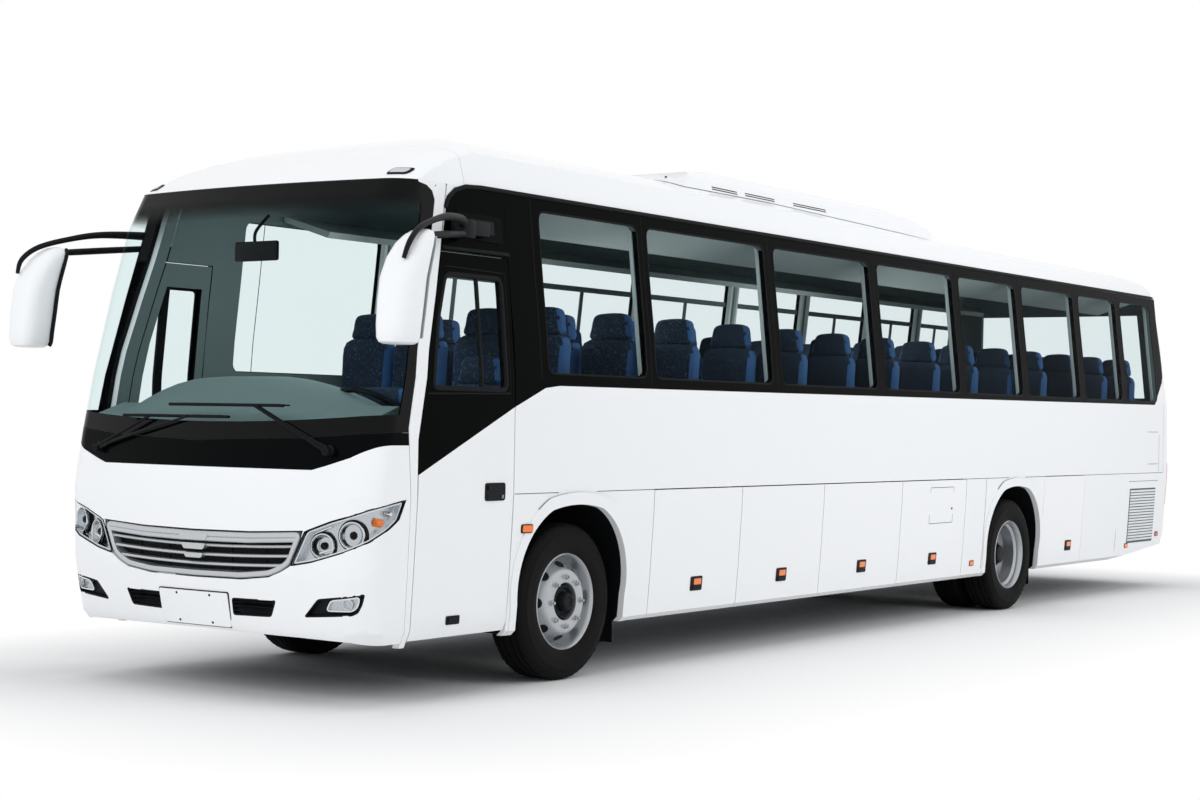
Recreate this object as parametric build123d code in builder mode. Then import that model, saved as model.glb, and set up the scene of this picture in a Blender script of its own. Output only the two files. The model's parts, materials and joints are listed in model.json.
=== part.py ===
"""Two-axle touring coach with an underfloor luggage hold, front entrance and roof air conditioning.

Frame: X towards the coach's left side, Y towards its rear, Z up, millimetres.  The origin is on the
ground under the middle of the whole coach.  Stations are distances behind the front axle.
"""

import math
import os

from build123d import *

os.makedirs("parts", exist_ok=True)

# ---------------------------------------------------------------- driving dimensions
WHEELBASE = 6830
FRONT_AXLE_Y = -4420
HALF_WIDTH = 1250

SKIRT_Z = 334
BELT_Z = 1205
SILL_Z = 1888
RAIL_Z = 3040
FLOOR_Z = 1350
PLATFORM_Z = 1000

AHEAD = -2400
BEHIND = 11400
OUTSIDE = 1400

WALL = 50
SKIN = 35
GLASS = 8
GAP = 8

DOOR_REAR = -690
ENTRY_REAR = -920
TAIL_START = 10710

BOW_RADIUS = 6700
TAIL_BOW_RADIUS = 14000
CORNER_RADIUS = 180

TYRE_RADIUS = 500
TYRE_WIDTH = 280
RIM_RADIUS = 292
FRONT_TRACK = 2068
KINGPIN_X = 900

# side wall, from the turned-in skirt to the drip rail: (height, half width)
SIDE_SECTION = [
    (334, 1167),
    (364, 1199),
    (600, 1219),
    (1035, 1245),
    (1205, 1250),
    (1888, 1250),
    (2150, 1229),
    (2540, 1181),
    (3040, 1126),
]

# nose: (height, station of the front at the centre line, half width)
NOSE_SECTIONS = [
    (334, -2010, 1167),
    (430, -2072, 1208),
    (750, -2128, 1228),
    (1200, -2130, 1250),
    (1530, -2075, 1250),
    (1888, -2000, 1250),
    (2400, -1898, 1200),
    (2800, -1808, 1151),
    (3040, -1695, 1126),
]

# dome over the windscreen: (height, station of the front, half width, corner radius)
DOME_SECTIONS = [
    (3040, -1695, 1126, 180),
    (3110, -1575, 1107, 190),
    (3190, -1430, 1085, 240),
    (3262, -1250, 1065, 330),
    (3340, -980, 1065, 420),
    (3420, -620, 1065, 500),
    (3500, -200, 1065, 600),
]

# tail: (height, station of the rear at the centre line, half width)
TAIL_SECTIONS = [
    (420, 10975, 1196),
    (560, 11020, 1216),
    (1205, 11040, 1250),
    (1888, 11010, 1250),
    (2540, 10940, 1181),
    (3040, 10872, 1126),
]

# tail dome: (height, station of the rear, half width, corner radius)
TAIL_DOME_SECTIONS = [
    (3040, 10872, 1126, 200),
    (3110, 10840, 1107, 220),
    (3190, 10740, 1085, 260),
    (3260, 10620, 1065, 320),
    (3330, 10380, 1065, 400),
    (3420, 10000, 1065, 500),
]

# roof: (station, cornice height, crown height)
ROOF_SECTIONS = [
    (-1750, 3262, 3472),
    (-690, 3262, 3472),
    (3100, 3262, 3476),
    (6800, 3190, 3400),
    (10710, 3178, 3386),
    (10900, 3178, 3386),
]
CORNICE_HALF = 1065
ROOF_THICKNESS = 45

# rear edge of the front posts and front edge of the front doors: (height, station)
POST_FRONT = [(250, -1638), (1200, -1650), (1597, -1681), (2044, -1599), (2632, -1427), (3060, -1318)]
POST_REAR = [(250, -1588), (1530, -1588), (2048, -1490), (2640, -1325), (3060, -1225)]
DOOR_TOP = 2640
DOOR_BOTTOM = 372

# side windows: (front station, rear station)
WINDOWS_LEFT = [
    (-340, 770),
    (880, 2440),
    (2580, 4110),
    (4250, 5660),
    (5790, 7010),
    (7150, 8390),
    (8530, 9520),
    (9650, 10520),
]
WINDOWS_RIGHT = [(-640, 770)] + WINDOWS_LEFT[1:]
WINDOW_LOW = 1945
WINDOW_HIGH = 2960
WINDOW_CORNER = 60

# luggage and service doors in the skirt: (name, front station, rear station)
HOLD_DOORS = [
    ("luggage_door_1", 877, 2024),
    ("luggage_door_2", 2024, 3244),
    ("luggage_door_3", 3244, 4572),
    ("luggage_door_4", 4572, 5805),
]
SERVICE_DOOR = (7525, 8520)
# wheel arches: half width and height at the foot, the side and the shoulder, then the top height
ARCH_OPENING = (585, 520, 505, 900, 270, 1092, 1122)
ARCH_LIP = (643, 500, 560, 950, 300, 1168, 1200)
HOUSING_OUTER = (600, 520, 520, 905, 275, 1106, 1136)
HOUSING_INNER = (592, 520, 512, 902, 273, 1098, 1128)
ARCH_OFFSETS = {0: -10, WHEELBASE: 50}
LIP_PROUD = 10
# the skirt's lower edge rises behind the rear wheels: (station, height) points of the cut
KICK_UP = [(9350, 250), (9350, SKIRT_Z), (10860, 450), (BEHIND, 450), (BEHIND, 250)]

SEAT_PITCH = 780
SEAT_ROWS_LEFT = [-250 + SEAT_PITCH * row for row in range(14)]
SEAT_ROWS_RIGHT = [130 + SEAT_PITCH * row for row in range(13)]


def at(station):
    """Y of a station, a distance behind the front axle."""
    return FRONT_AXLE_Y + station


def interpolate(table, value):
    """Straight-line reading of a two-column table."""
    for (x_low, y_low), (x_high, y_high) in zip(table, table[1:]):
        if value <= x_high:
            break
    return y_low + (y_high - y_low) * (value - x_low) / (x_high - x_low)


def side_prism(points, near, far):
    """Prism seen from the coach's side: (station, height) points, from X=near to X=far."""
    with BuildPart() as prism:
        with BuildSketch(Plane.YZ.offset(near)):
            with BuildLine():
                Polyline([(at(station), height) for station, height in points], close=True)
            make_face()
        extrude(amount=far - near)
    return prism.part


def front_prism(points, front, rear):
    """Prism seen from the front: (X, height) points, from one station to another."""
    with BuildPart() as prism:
        with BuildSketch(Plane.XZ.offset(-at(front))):
            with BuildLine():
                Polyline(points, close=True)
            make_face()
        extrude(amount=front - rear)
    return prism.part


def block(x_low, x_high, front, rear, z_low, z_high):
    """Square block between two X values, two stations and two heights."""
    with BuildPart() as solid:
        with Locations(((x_low + x_high) / 2, at((front + rear) / 2), (z_low + z_high) / 2)):
            Box(abs(x_high - x_low), rear - front, z_high - z_low)
    return solid.part


def round_bar(start, end, radius):
    """Round bar between two points given in X, station and height."""
    first = Vector(start[0], at(start[1]), start[2])
    last = Vector(end[0], at(end[1]), end[2])
    with BuildPart() as bar:
        with BuildSketch(Plane(origin=first, z_dir=last - first)):
            Circle(radius)
        extrude(amount=(last - first).length)
    return bar.part


def plan_solid(sections, inset, depth, bow, facing):
    """Loft of plan outlines with a bowed end, rounded corners, straight sides and a flat back.

    sections holds (height, end station, half width, corner radius); inset shrinks each outline
    inwards; depth is the station of the flat back; facing is -1 for a nose and 1 for a tail.
    """
    with BuildPart() as solid:
        for height, end, half, corner in sections:
            inner_half = half - inset
            inner_corner = max(corner - inset, 20)
            inner_bow = bow - inset
            tip = facing * at(end) - inset
            side = inner_half - inner_corner
            bow_y = tip - inner_bow
            corner_y = bow_y + math.sqrt((inner_bow - inner_corner) ** 2 - side**2)
            lean = math.atan2(side, corner_y - bow_y)
            touch_x = side + inner_corner * math.sin(lean)
            touch_y = corner_y + inner_corner * math.cos(lean)
            half_turn = (math.pi / 2 + lean) / 2
            mid_x = side + inner_corner * math.sin(half_turn)
            mid_y = corner_y + inner_corner * math.cos(half_turn)
            back = facing * at(depth)
            with BuildSketch(Plane.XY.offset(height)):
                with BuildLine():
                    Line((inner_half, facing * back), (inner_half, facing * corner_y))
                    ThreePointArc(
                        (inner_half, facing * corner_y),
                        (mid_x, facing * mid_y),
                        (touch_x, facing * touch_y),
                    )
                    ThreePointArc(
                        (touch_x, facing * touch_y), (0, facing * tip), (-touch_x, facing * touch_y)
                    )
                    ThreePointArc(
                        (-touch_x, facing * touch_y),
                        (-mid_x, facing * mid_y),
                        (-inner_half, facing * corner_y),
                    )
                    Line((-inner_half, facing * corner_y), (-inner_half, facing * back))
                    Line((-inner_half, facing * back), (inner_half, facing * back))
                make_face()
        loft(ruled=True)
    return solid.part


def plan_shell(sections, thickness, depth, bow, facing):
    """Hollow plan_solid: walls of the given thickness, open at the flat back, top and bottom."""
    with BuildPart() as shell:
        add(plan_solid(sections, 0, depth, bow, facing))
        add(plan_solid(sections, thickness, depth, bow, facing), mode=Mode.SUBTRACT)
    return shell.part


def wall_points(z_low, z_high, thickness, hand):
    """Section of the side wall between two heights as (X, Z) points; hand is 1 for left."""
    heights = [z_low] + [z for z, half in SIDE_SECTION if z_low < z < z_high] + [z_high]
    outer = [(hand * interpolate(SIDE_SECTION, z), z) for z in heights]
    inner = [(x - hand * thickness, z) for x, z in reversed(outer)]
    return outer + inner


def side_band(z_low, z_high, front, rear, hand, thickness=WALL):
    """Length of side wall between two heights and two stations."""
    return front_prism(wall_points(z_low, z_high, thickness, hand), front, rear)


def arch_prism(axle, outline, reach=1400):
    """Prism across the coach inside a wheel-arch line, as listed with the arches above."""
    foot, foot_z, side, side_z, shoulder, shoulder_z, top_z = outline
    centre = at(axle + ARCH_OFFSETS[axle])
    front = [(centre - foot, foot_z), (centre - side, side_z), (centre - shoulder, shoulder_z)]
    rear = [(centre + shoulder, shoulder_z), (centre + side, side_z), (centre + foot, foot_z)]
    with BuildPart() as arch:
        with BuildSketch(Plane.YZ.offset(-reach)):
            with BuildLine():
                Line((centre - foot, 150), front[0])
                ThreePointArc(*front)
                ThreePointArc(front[-1], (centre, top_z), rear[0])
                ThreePointArc(*rear)
                Line(rear[-1], (centre + foot, 150))
                Line((centre + foot, 150), (centre - foot, 150))
            make_face()
        extrude(amount=2 * reach)
    return arch.part


def write(builder, name):
    """Label a finished piece and write its STEP file."""
    builder.part.label = name
    export_step(builder.part, f"parts/{name}.step")


# ---------------------------------------------------------------- body shells
nose_table = [(z, front, half, CORNER_RADIUS) for z, front, half in NOSE_SECTIONS]
tail_table = [(z, rear, half, 200) for z, rear, half in TAIL_SECTIONS]
nose_shell = plan_shell(nose_table, WALL, DOOR_REAR + 300, BOW_RADIUS, -1)
nose_skin = plan_shell(nose_table, GLASS, DOOR_REAR + 300, BOW_RADIUS, -1)
tail_shell = plan_shell(tail_table, WALL, TAIL_START - 300, TAIL_BOW_RADIUS, 1)
tail_skin = plan_shell(tail_table, GLASS, TAIL_START - 300, TAIL_BOW_RADIUS, 1)


def nose_piece(*prisms):
    """The part of the nose wall that lies inside every prism."""
    with BuildPart() as piece:
        add(nose_shell)
        for prism in prisms:
            add(prism, mode=Mode.INTERSECT)
    return piece.part


# ---------------------------------------------------------------- front: panel, bumper, posts
MASK_LOW = [(-1400, 1552), (-1227, 1489), (-1099, 1425), (-944, 1376), (-850, 1350)]
SEAM_HIGH = [(-1400, 1597), (-1221, 1567), (-742, 1529), (0, 1505)]


def mirrored(points):
    """Points on one side of the centre line followed by their mirror images, as one polyline."""
    return points + [(-x, z) for x, z in reversed(points) if x]


POST_FRONT_LINE = [(station, z) for z, station in POST_FRONT]
POST_REAR_LINE = [(station, z) for z, station in POST_REAR]
ahead_of_posts = [(AHEAD, 250)] + [(s - 4, z) for s, z in POST_FRONT_LINE] + [(AHEAD, 3060)]

LAMP_SEAM = [(-1240, 1110), (-1218, 1050), (-1060, 975), (-789, 903)]
PANEL_SEAM = [(-1400, 1130), (-1249, 1130)] + LAMP_SEAM
BUMPER_SEAM = [(-1400, 1190), (-1249, 1190)] + LAMP_SEAM
GRILLE_TOP = [(-820, 1008), (-443, 990), (0, 985)]
GRILLE_LOW = [(-727, 798), (-665, 765), (-580, 732), (-371, 708), (0, 704)]


def rectangle(half, low, high):
    """Corners of a rectangle centred on X=0."""
    return [(-half, low), (-half, high), (half, high), (half, low)]


# headlamp outline on a plane that faces the front corner: (distance along the plane, height)
HEADLAMP = [
    (-884, 1004), (-745, 1066), (-529, 1140), (-311, 1190), (-352, 1076), (-411, 1024),
    (-525, 955), (-690, 886), (-850, 828), (-964, 802),
]
ABOVE_LAMP = [(-884, 1004), (-745, 1066), (-529, 1140), (-311, 1190), (-311, 1300), (-884, 1300)]
BEHIND_LAMP = [(-411, 1024), (-352, 1076), (-311, 1190), (-200, 1190), (-200, 1024)]
FOG_LAMP = [(-869, 519), (-801, 622), (-549, 662), (-562, 606), (-583, 560), (-615, 543)]
DIAGONAL = math.sqrt(0.5)


def corner_prism(points, hand, near, far):
    """Prism facing a front corner at 45 degrees: (distance, height) points, near to far from it."""
    axle = Vector(0, FRONT_AXLE_Y, 0)
    outward = Vector(hand * DIAGONAL, -DIAGONAL, 0)
    along = Vector(hand * DIAGONAL, DIAGONAL, 0)
    with BuildPart() as prism:
        with BuildSketch(Plane(origin=axle + outward * near, x_dir=along, z_dir=outward)):
            with BuildLine():
                Polyline([(distance, hand * z) for distance, z in points], close=True)
            make_face()
        extrude(amount=far - near)
    return prism.part


def both_corners(points):
    """Left and right corner prisms through the nose wall."""
    with BuildPart() as pair:
        for hand in (1, -1):
            add(corner_prism(points, hand, 1850, 2500))
    return pair.part


with BuildPart() as front_panel:
    upper = mirrored(MASK_LOW)
    lower = mirrored(PANEL_SEAM + GRILLE_TOP)
    add(
        nose_piece(
            front_prism(upper + list(reversed(lower)), AHEAD, -1500),
            side_prism(ahead_of_posts, -OUTSIDE, OUTSIDE),
        )
    )
    add(both_corners(HEADLAMP), mode=Mode.SUBTRACT)
    add(both_corners(BEHIND_LAMP), mode=Mode.SUBTRACT)
write(front_panel, "front_panel")

INTAKE = [(290, 594), (613, 599), (569, 505), (290, 500)]
PLATE_HOLE_X = (-150, 120)
PLATE_HOLE_Z = (445, 605)
PLATE_HOLE_RADIUS = 3
BUMPER_LOW = [(-1250, 350), (-1076, 385), (-746, 394), (0, 404)]

with BuildPart() as front_bumper:
    upper = mirrored(BUMPER_SEAM + GRILLE_LOW)
    lower = mirrored(BUMPER_LOW)
    add(
        nose_piece(
            front_prism(upper + list(reversed(lower)), AHEAD, -1500),
            side_prism(ahead_of_posts, -OUTSIDE, OUTSIDE),
        )
    )
    for hand in (1, -1):
        add(
            front_prism([(hand * x, z) for x, z in INTAKE], AHEAD, -1900),
            mode=Mode.SUBTRACT,
        )
    add(both_corners(HEADLAMP), mode=Mode.SUBTRACT)
    add(both_corners(ABOVE_LAMP), mode=Mode.SUBTRACT)
    add(both_corners(FOG_LAMP), mode=Mode.SUBTRACT)
    for x in PLATE_HOLE_X:
        for z in PLATE_HOLE_Z:
            add(round_bar((x, AHEAD, z), (x, -1900, z), PLATE_HOLE_RADIUS), mode=Mode.SUBTRACT)
write(front_bumper, "front_bumper")

with BuildPart() as front_posts:
    strip = POST_FRONT_LINE + [(s - GAP, z) for s, z in reversed(POST_REAR_LINE)]
    for hand in (1, -1):
        add(nose_piece(side_prism(strip, hand * 900, hand * OUTSIDE)))
    add(both_corners(HEADLAMP), mode=Mode.SUBTRACT)
write(front_posts, "front_posts")

with BuildPart() as windscreen:
    add(nose_skin)
    add(
        front_prism(mirrored(SEAM_HIGH) + [(1400, RAIL_Z - 5), (-1400, RAIL_Z - 5)], AHEAD, -1200),
        mode=Mode.INTERSECT,
    )
    add(side_prism(ahead_of_posts, -OUTSIDE, OUTSIDE), mode=Mode.INTERSECT)
write(windscreen, "windscreen")

with BuildPart() as windscreen_mask:
    upper = [(x, z - 4) for x, z in mirrored(SEAM_HIGH)]
    lower = [(x, z + 1) for x, z in mirrored(MASK_LOW)]
    add(
        nose_piece(
            front_prism(upper + list(reversed(lower)), AHEAD, -1500),
            side_prism(ahead_of_posts, -OUTSIDE, OUTSIDE),
        )
    )
write(windscreen_mask, "windscreen_mask")


# ---------------------------------------------------------------- dome, roof and air conditioner
def roof_solid(front, rear, inset):
    """Crowned roof between two stations of ROOF_SECTIONS, shrunk by inset at sides and top."""
    with BuildPart() as solid:
        for station in (front, rear):
            cornice = interpolate([(s, low) for s, low, high in ROOF_SECTIONS], station) - inset
            crown = interpolate([(s, high) for s, low, high in ROOF_SECTIONS], station) - inset
            edge = CORNICE_HALF - inset
            foot = interpolate(SIDE_SECTION, RAIL_Z) - inset
            with BuildSketch(Plane.XZ.offset(-at(station))):
                with BuildLine():
                    Line((foot, RAIL_Z), (edge, cornice))
                    ThreePointArc((edge, cornice), (0, crown), (-edge, cornice))
                    Line((-edge, cornice), (-foot, RAIL_Z))
                    Line((-foot, RAIL_Z), (foot, RAIL_Z))
                make_face()
        loft(ruled=True)
    return solid.part


def roof_form(inset):
    """Whole roof with its rounded ends, shrunk by inset; the ends' plans are a little wider than it."""
    nose_plan = [(z, end, half + 1, corner) for z, end, half, corner in DOME_SECTIONS]
    tail_plan = [(z, end, half + 1, corner) for z, end, half, corner in TAIL_DOME_SECTIONS]
    with BuildPart() as nose:
        add(plan_solid(nose_plan, inset, 900, BOW_RADIUS, -1))
        add(roof_solid(-1750, 0, inset), mode=Mode.INTERSECT)
    with BuildPart() as tail:
        add(plan_solid(tail_plan, inset, 9200, TAIL_BOW_RADIUS, 1))
        add(roof_solid(9900, 10900, inset), mode=Mode.INTERSECT)
    with BuildPart() as form:
        for front, rear in ((0, 3100), (3100, 6800), (6800, 9900)):
            add(roof_solid(front, rear, inset))
        add(nose.part)
        add(tail.part)
    return form.part


DOME_REAR = -1060
with BuildPart() as roof_whole:
    add(roof_form(0))
    add(roof_form(ROOF_THICKNESS), mode=Mode.SUBTRACT)

with BuildPart() as front_dome:
    add(roof_whole.part)
    add(block(-1300, 1300, -1800, DOME_REAR, 3000, 3600), mode=Mode.INTERSECT)
write(front_dome, "front_dome")

with BuildPart() as roof_shell:
    add(roof_whole.part)
    add(block(-1300, 1300, DOME_REAR + 4, TAIL_START - 4, 3000, 3600), mode=Mode.INTERSECT)
write(roof_shell, "roof_shell")

# side outline of the roof unit: (station, height); cross outline: (X, height)
AC_SIDE = [(1900, 3380), (2080, 3495), (2420, 3530), (5300, 3515), (5980, 3380)]
AC_CROSS = [(800, 3300), (760, 3450), (560, 3575), (300, 3620)]
with BuildPart() as air_conditioner:
    add(side_prism(AC_SIDE + [(5980, 3300), (1900, 3300)], -900, 900))
    add(front_prism(mirrored(AC_CROSS), 1800, 6100), mode=Mode.INTERSECT)
    add(roof_solid(1700, 3100, -3), mode=Mode.SUBTRACT)
    add(roof_solid(3100, 6800, -3), mode=Mode.SUBTRACT)
write(air_conditioner, "air_conditioner")


# ---------------------------------------------------------------- side walls
def rounded_window(front, rear, low, high, hand):
    """Cutter for one side window with rounded corners."""
    with BuildPart() as cutter:
        with BuildSketch(Plane.YZ.offset(hand * 950)):
            with Locations((at((front + rear) / 2), (low + high) / 2)):
                RectangleRounded(rear - front, high - low, WINDOW_CORNER)
        extrude(amount=hand * 450)
    return cutter.part


def wall_frame(windows, front, hand):
    """Black upper wall between sill and drip rail with its windows cut."""
    with BuildPart() as frame:
        add(side_band(SILL_Z, RAIL_Z, front, TAIL_START - 4, hand))
        for start, end in windows:
            add(rounded_window(start, end, WINDOW_LOW, WINDOW_HIGH, hand), mode=Mode.SUBTRACT)
    return frame.part


def above_door(rear, hand):
    """Fixed panel over a front door, from the post to the first pillar."""
    outline = [(-1325 + 4, DOOR_TOP), (-1225, RAIL_Z), (rear, RAIL_Z), (rear, DOOR_TOP)]
    return nose_piece(side_prism(outline, hand * 900, hand * OUTSIDE))


def waist(front, hand):
    """White wall between the belt seam and the window sill."""
    return side_band(BELT_Z, SILL_Z, front, TAIL_START - 4, hand)


def skirt(pieces, hand):
    """Fixed skirt panels, cut away at both wheel arches."""
    with BuildPart() as panels:
        for start, end in pieces:
            add(side_band(SKIRT_Z, BELT_Z, start, end, hand, SKIN))
        for axle in (0, WHEELBASE):
            add(arch_prism(axle, ARCH_OPENING), mode=Mode.SUBTRACT)
        add(side_prism(KICK_UP, -OUTSIDE, OUTSIDE), mode=Mode.SUBTRACT)
    return panels.part


def proud_section(proud, hand):
    """Section of the skirt moved outwards, for the arch lips."""
    outer = [(hand * (half + proud), z) for z, half in SIDE_SECTION if z <= BELT_Z]
    return outer + [(x - hand * (proud + SKIN), z) for x, z in reversed(outer)]


def arch_lip(axle, hand):
    """Raised rim round one wheel arch."""
    with BuildPart() as lip:
        add(front_prism(proud_section(LIP_PROUD, hand), axle - 680, axle + 720))
        add(arch_prism(axle, ARCH_LIP), mode=Mode.INTERSECT)
        add(arch_prism(axle, ARCH_OPENING), mode=Mode.SUBTRACT)
    return lip.part


def window_pane(front, rear, hand):
    """One side window's glass, with slight play in its opening."""
    with BuildPart() as pane:
        add(side_band(WINDOW_LOW - 20, WINDOW_HIGH + 20, front - 20, rear + 20, hand, 6))
        add(rounded_window(front + 1, rear - 1, WINDOW_LOW + 1, WINDOW_HIGH - 1, hand), mode=Mode.INTERSECT)
    return pane.part


for name, hand, door_rear, windows in (
    ("left", 1, DOOR_REAR, WINDOWS_LEFT),
    ("right", -1, ENTRY_REAR, WINDOWS_RIGHT),
):
    start = door_rear + GAP
    with BuildPart() as window_frame:
        add(wall_frame(windows, start, hand))
        add(above_door(start, hand))
    write(window_frame, f"window_frame_{name}")

    with BuildPart() as waist_panel:
        add(waist(start, hand))

    with BuildPart() as side_glass:
        for window_start, window_end in windows:
            add(window_pane(window_start, window_end, hand))
    write(side_glass, f"side_glass_{name}")

    panels = [(start, HOLD_DOORS[0][1] - 4), (HOLD_DOORS[-1][2] + 4, TAIL_START - 4)]
    with BuildPart() as skirt_panels:
        add(skirt(panels, hand))
        for axle in (0, WHEELBASE):
            add(arch_lip(axle, hand))
        if hand == 1:
            add(side_band(SKIRT_Z - 5, BELT_Z, *SERVICE_DOOR, hand, WALL + 30), mode=Mode.SUBTRACT)
        add(waist_panel.part)
    write(skirt_panels, f"side_panels_{name}")

    for door_name, door_start, door_end in HOLD_DOORS:
        with BuildPart() as hold_door:
            add(side_band(SKIRT_Z, BELT_Z - GAP, door_start + 4, door_end - 4, hand, SKIN))
        write(hold_door, f"{door_name}_{name}")


with BuildPart() as service_door:
    add(side_band(SKIRT_Z, BELT_Z - GAP, SERVICE_DOOR[0] + 4, SERVICE_DOOR[1] - 4, 1, SKIN))
write(service_door, "service_door")

# ---------------------------------------------------------------- front doors
DOOR_WINDOW = [(-1470, 1830), (-1398, 2225), (-1300, 2505), (-770, 2505), (-770, 1830)]
ENTRY_WINDOW = [(-1500, 640), (-1500, 1560), (-1405, 2110), (-1300, 2480), (-990, 2480), (-990, 640)]


def door_outline(rear, hand, inset):
    """Side outline of a front door, inset from its opening."""
    front = [(station + inset, z) for station, z in POST_REAR_LINE if z < DOOR_TOP]
    low = [(front[0][0], DOOR_BOTTOM)] + front[1:]
    top = DOOR_TOP - GAP
    return low + [(-1325 + inset, top), (rear - inset, top), (rear - inset, DOOR_BOTTOM)]


for name, hand, rear, window in (
    ("driver_door", 1, DOOR_REAR, DOOR_WINDOW),
    ("entrance_door", -1, ENTRY_REAR, ENTRY_WINDOW),
):
    with BuildPart() as door:
        add(nose_piece(side_prism(door_outline(rear, hand, 0), hand * 900, hand * OUTSIDE)))
        add(side_prism(window, hand * 900, hand * OUTSIDE), mode=Mode.SUBTRACT)
    write(door, name)

    with BuildPart() as door_glass:
        add(nose_skin)
        add(side_prism(window, hand * 900, hand * OUTSIDE), mode=Mode.INTERSECT)
    write(door_glass, f"{name}_glass")

# ---------------------------------------------------------------- tail
LID_HALF = 895
LID_LOW = 625
LID_HIGH = 1555
TAIL_WINDOW = [(-960, 1990), (-900, 2880), (900, 2880), (960, 1990)]
TAIL_LAMP = [(1040, 850), (1040, 1310), (1300, 1310), (1300, 850)]


def tail_piece(*prisms):
    """The part of the tail wall that lies inside every prism."""
    with BuildPart() as piece:
        add(tail_shell)
        for prism in prisms:
            add(prism, mode=Mode.INTERSECT)
    return piece.part


with BuildPart() as tail_panel:
    add(tail_piece(block(-1300, 1300, TAIL_START, BEHIND, 430, RAIL_Z)))
    add(roof_whole.part & block(-1300, 1300, TAIL_START, BEHIND, RAIL_Z + 3, 3600))
    add(side_prism(KICK_UP, -OUTSIDE, OUTSIDE), mode=Mode.SUBTRACT)
    add(front_prism(TAIL_WINDOW, 10600, BEHIND), mode=Mode.SUBTRACT)
    add(front_prism(rectangle(LID_HALF + 5, LID_LOW - 5, LID_HIGH + GAP), 10600, BEHIND), mode=Mode.SUBTRACT)
    for hand in (1, -1):
        add(front_prism([(hand * x, z) for x, z in TAIL_LAMP], 10905, BEHIND), mode=Mode.SUBTRACT)
write(tail_panel, "tail_panel")

with BuildPart() as engine_lid:
    add(tail_piece(front_prism(rectangle(LID_HALF, LID_LOW, LID_HIGH), 10600, BEHIND)))
write(engine_lid, "engine_lid")

with BuildPart() as tail_glass:
    add(tail_skin)
    add(front_prism(TAIL_WINDOW, 10600, BEHIND), mode=Mode.INTERSECT)
write(tail_glass, "tail_glass")

with BuildPart() as tail_lamps:
    for hand in (1, -1):
        add(tail_piece(front_prism([(hand * x, z) for x, z in TAIL_LAMP], 10905, BEHIND)))
write(tail_lamps, "tail_lamps")

# ---------------------------------------------------------------- lamps and grille
with BuildPart() as fog_lamps:
    add(nose_shell)
    add(both_corners(FOG_LAMP), mode=Mode.INTERSECT)

with BuildPart() as headlamps:
    add(nose_shell)
    add(both_corners(HEADLAMP), mode=Mode.INTERSECT)
    add(fog_lamps.part)
write(headlamps, "front_lamps")

GRILLE_EDGE = [(-812, 1004), (-443, 986), (0, 981)]
GRILLE_FOOT = [(-730, 818), (-665, 771), (-580, 737), (-371, 713), (0, 709)]
GRILLE_HOLE_TOP = [(-765, 962), (-443, 946), (0, 940)]
GRILLE_HOLE_FOOT = [(-690, 838), (-640, 800), (-570, 770), (-371, 748), (0, 744)]
BARS = [(900, 20), (842, 18), (784, 18)]


def between(top, foot):
    """Symmetric outline between a top line and a foot line, each given for one half."""
    return mirrored(top) + list(reversed(mirrored(foot)))


with BuildPart() as grille_backing:
    add(plan_solid(nose_table, WALL, -600, BOW_RADIUS, -1))
    add(plan_solid(nose_table, WALL + 6, -600, BOW_RADIUS, -1), mode=Mode.SUBTRACT)
    add(front_prism(rectangle(700, 480, 1000), AHEAD, -1500), mode=Mode.INTERSECT)
    # room behind the bumper for the points of the plate's screws
    for x in PLATE_HOLE_X:
        for z in PLATE_HOLE_Z:
            add(round_bar((x, AHEAD, z), (x, -1900, z), 3 * PLATE_HOLE_RADIUS), mode=Mode.SUBTRACT)

with BuildPart() as grille:
    add(nose_piece(front_prism(between(GRILLE_EDGE, GRILLE_FOOT), AHEAD, -1500)))
    add(front_prism(between(GRILLE_HOLE_TOP, GRILLE_HOLE_FOOT), AHEAD, -1500), mode=Mode.SUBTRACT)
    for height, depth in BARS:
        top = [(-760, height), (0, height - 12)]
        foot = [(-760, height - depth), (0, height - 12 - depth)]
        add(nose_piece(
            front_prism(between(top, foot), AHEAD, -1500),
            front_prism(between(GRILLE_EDGE, GRILLE_FOOT), AHEAD, -1500),
        ))
    add(both_corners(HEADLAMP), mode=Mode.SUBTRACT)
    add(grille_backing.part)
write(grille, "grille")

# ---------------------------------------------------------------- floor, hold and chassis
STAIR_PLATE = 25
PLATE_GAP = 2
ENTRY_STEPS = [(-1100, 380), (-920, 380), (-920, 590), (-735, 590), (-735, 800), (-550, 800), (-550, 1000)]
DRIVER_STEPS = [(1100, 420), (960, 420), (960, 710), (780, 710), (780, 1000)]


def stair(steps, front, rear, hand):
    """Folded stair plate between two stations; steps is its top line as (X, Z) points."""
    inward = [(x - hand * STAIR_PLATE, z - STAIR_PLATE) for x, z in steps]
    foot = (steps[0][0], steps[0][1] - STAIR_PLATE)
    head = (steps[-1][0] - hand * STAIR_PLATE, steps[-1][1])
    return front_prism(steps + [head] + list(reversed(inward[1:-1])) + [foot], front, rear)


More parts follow.
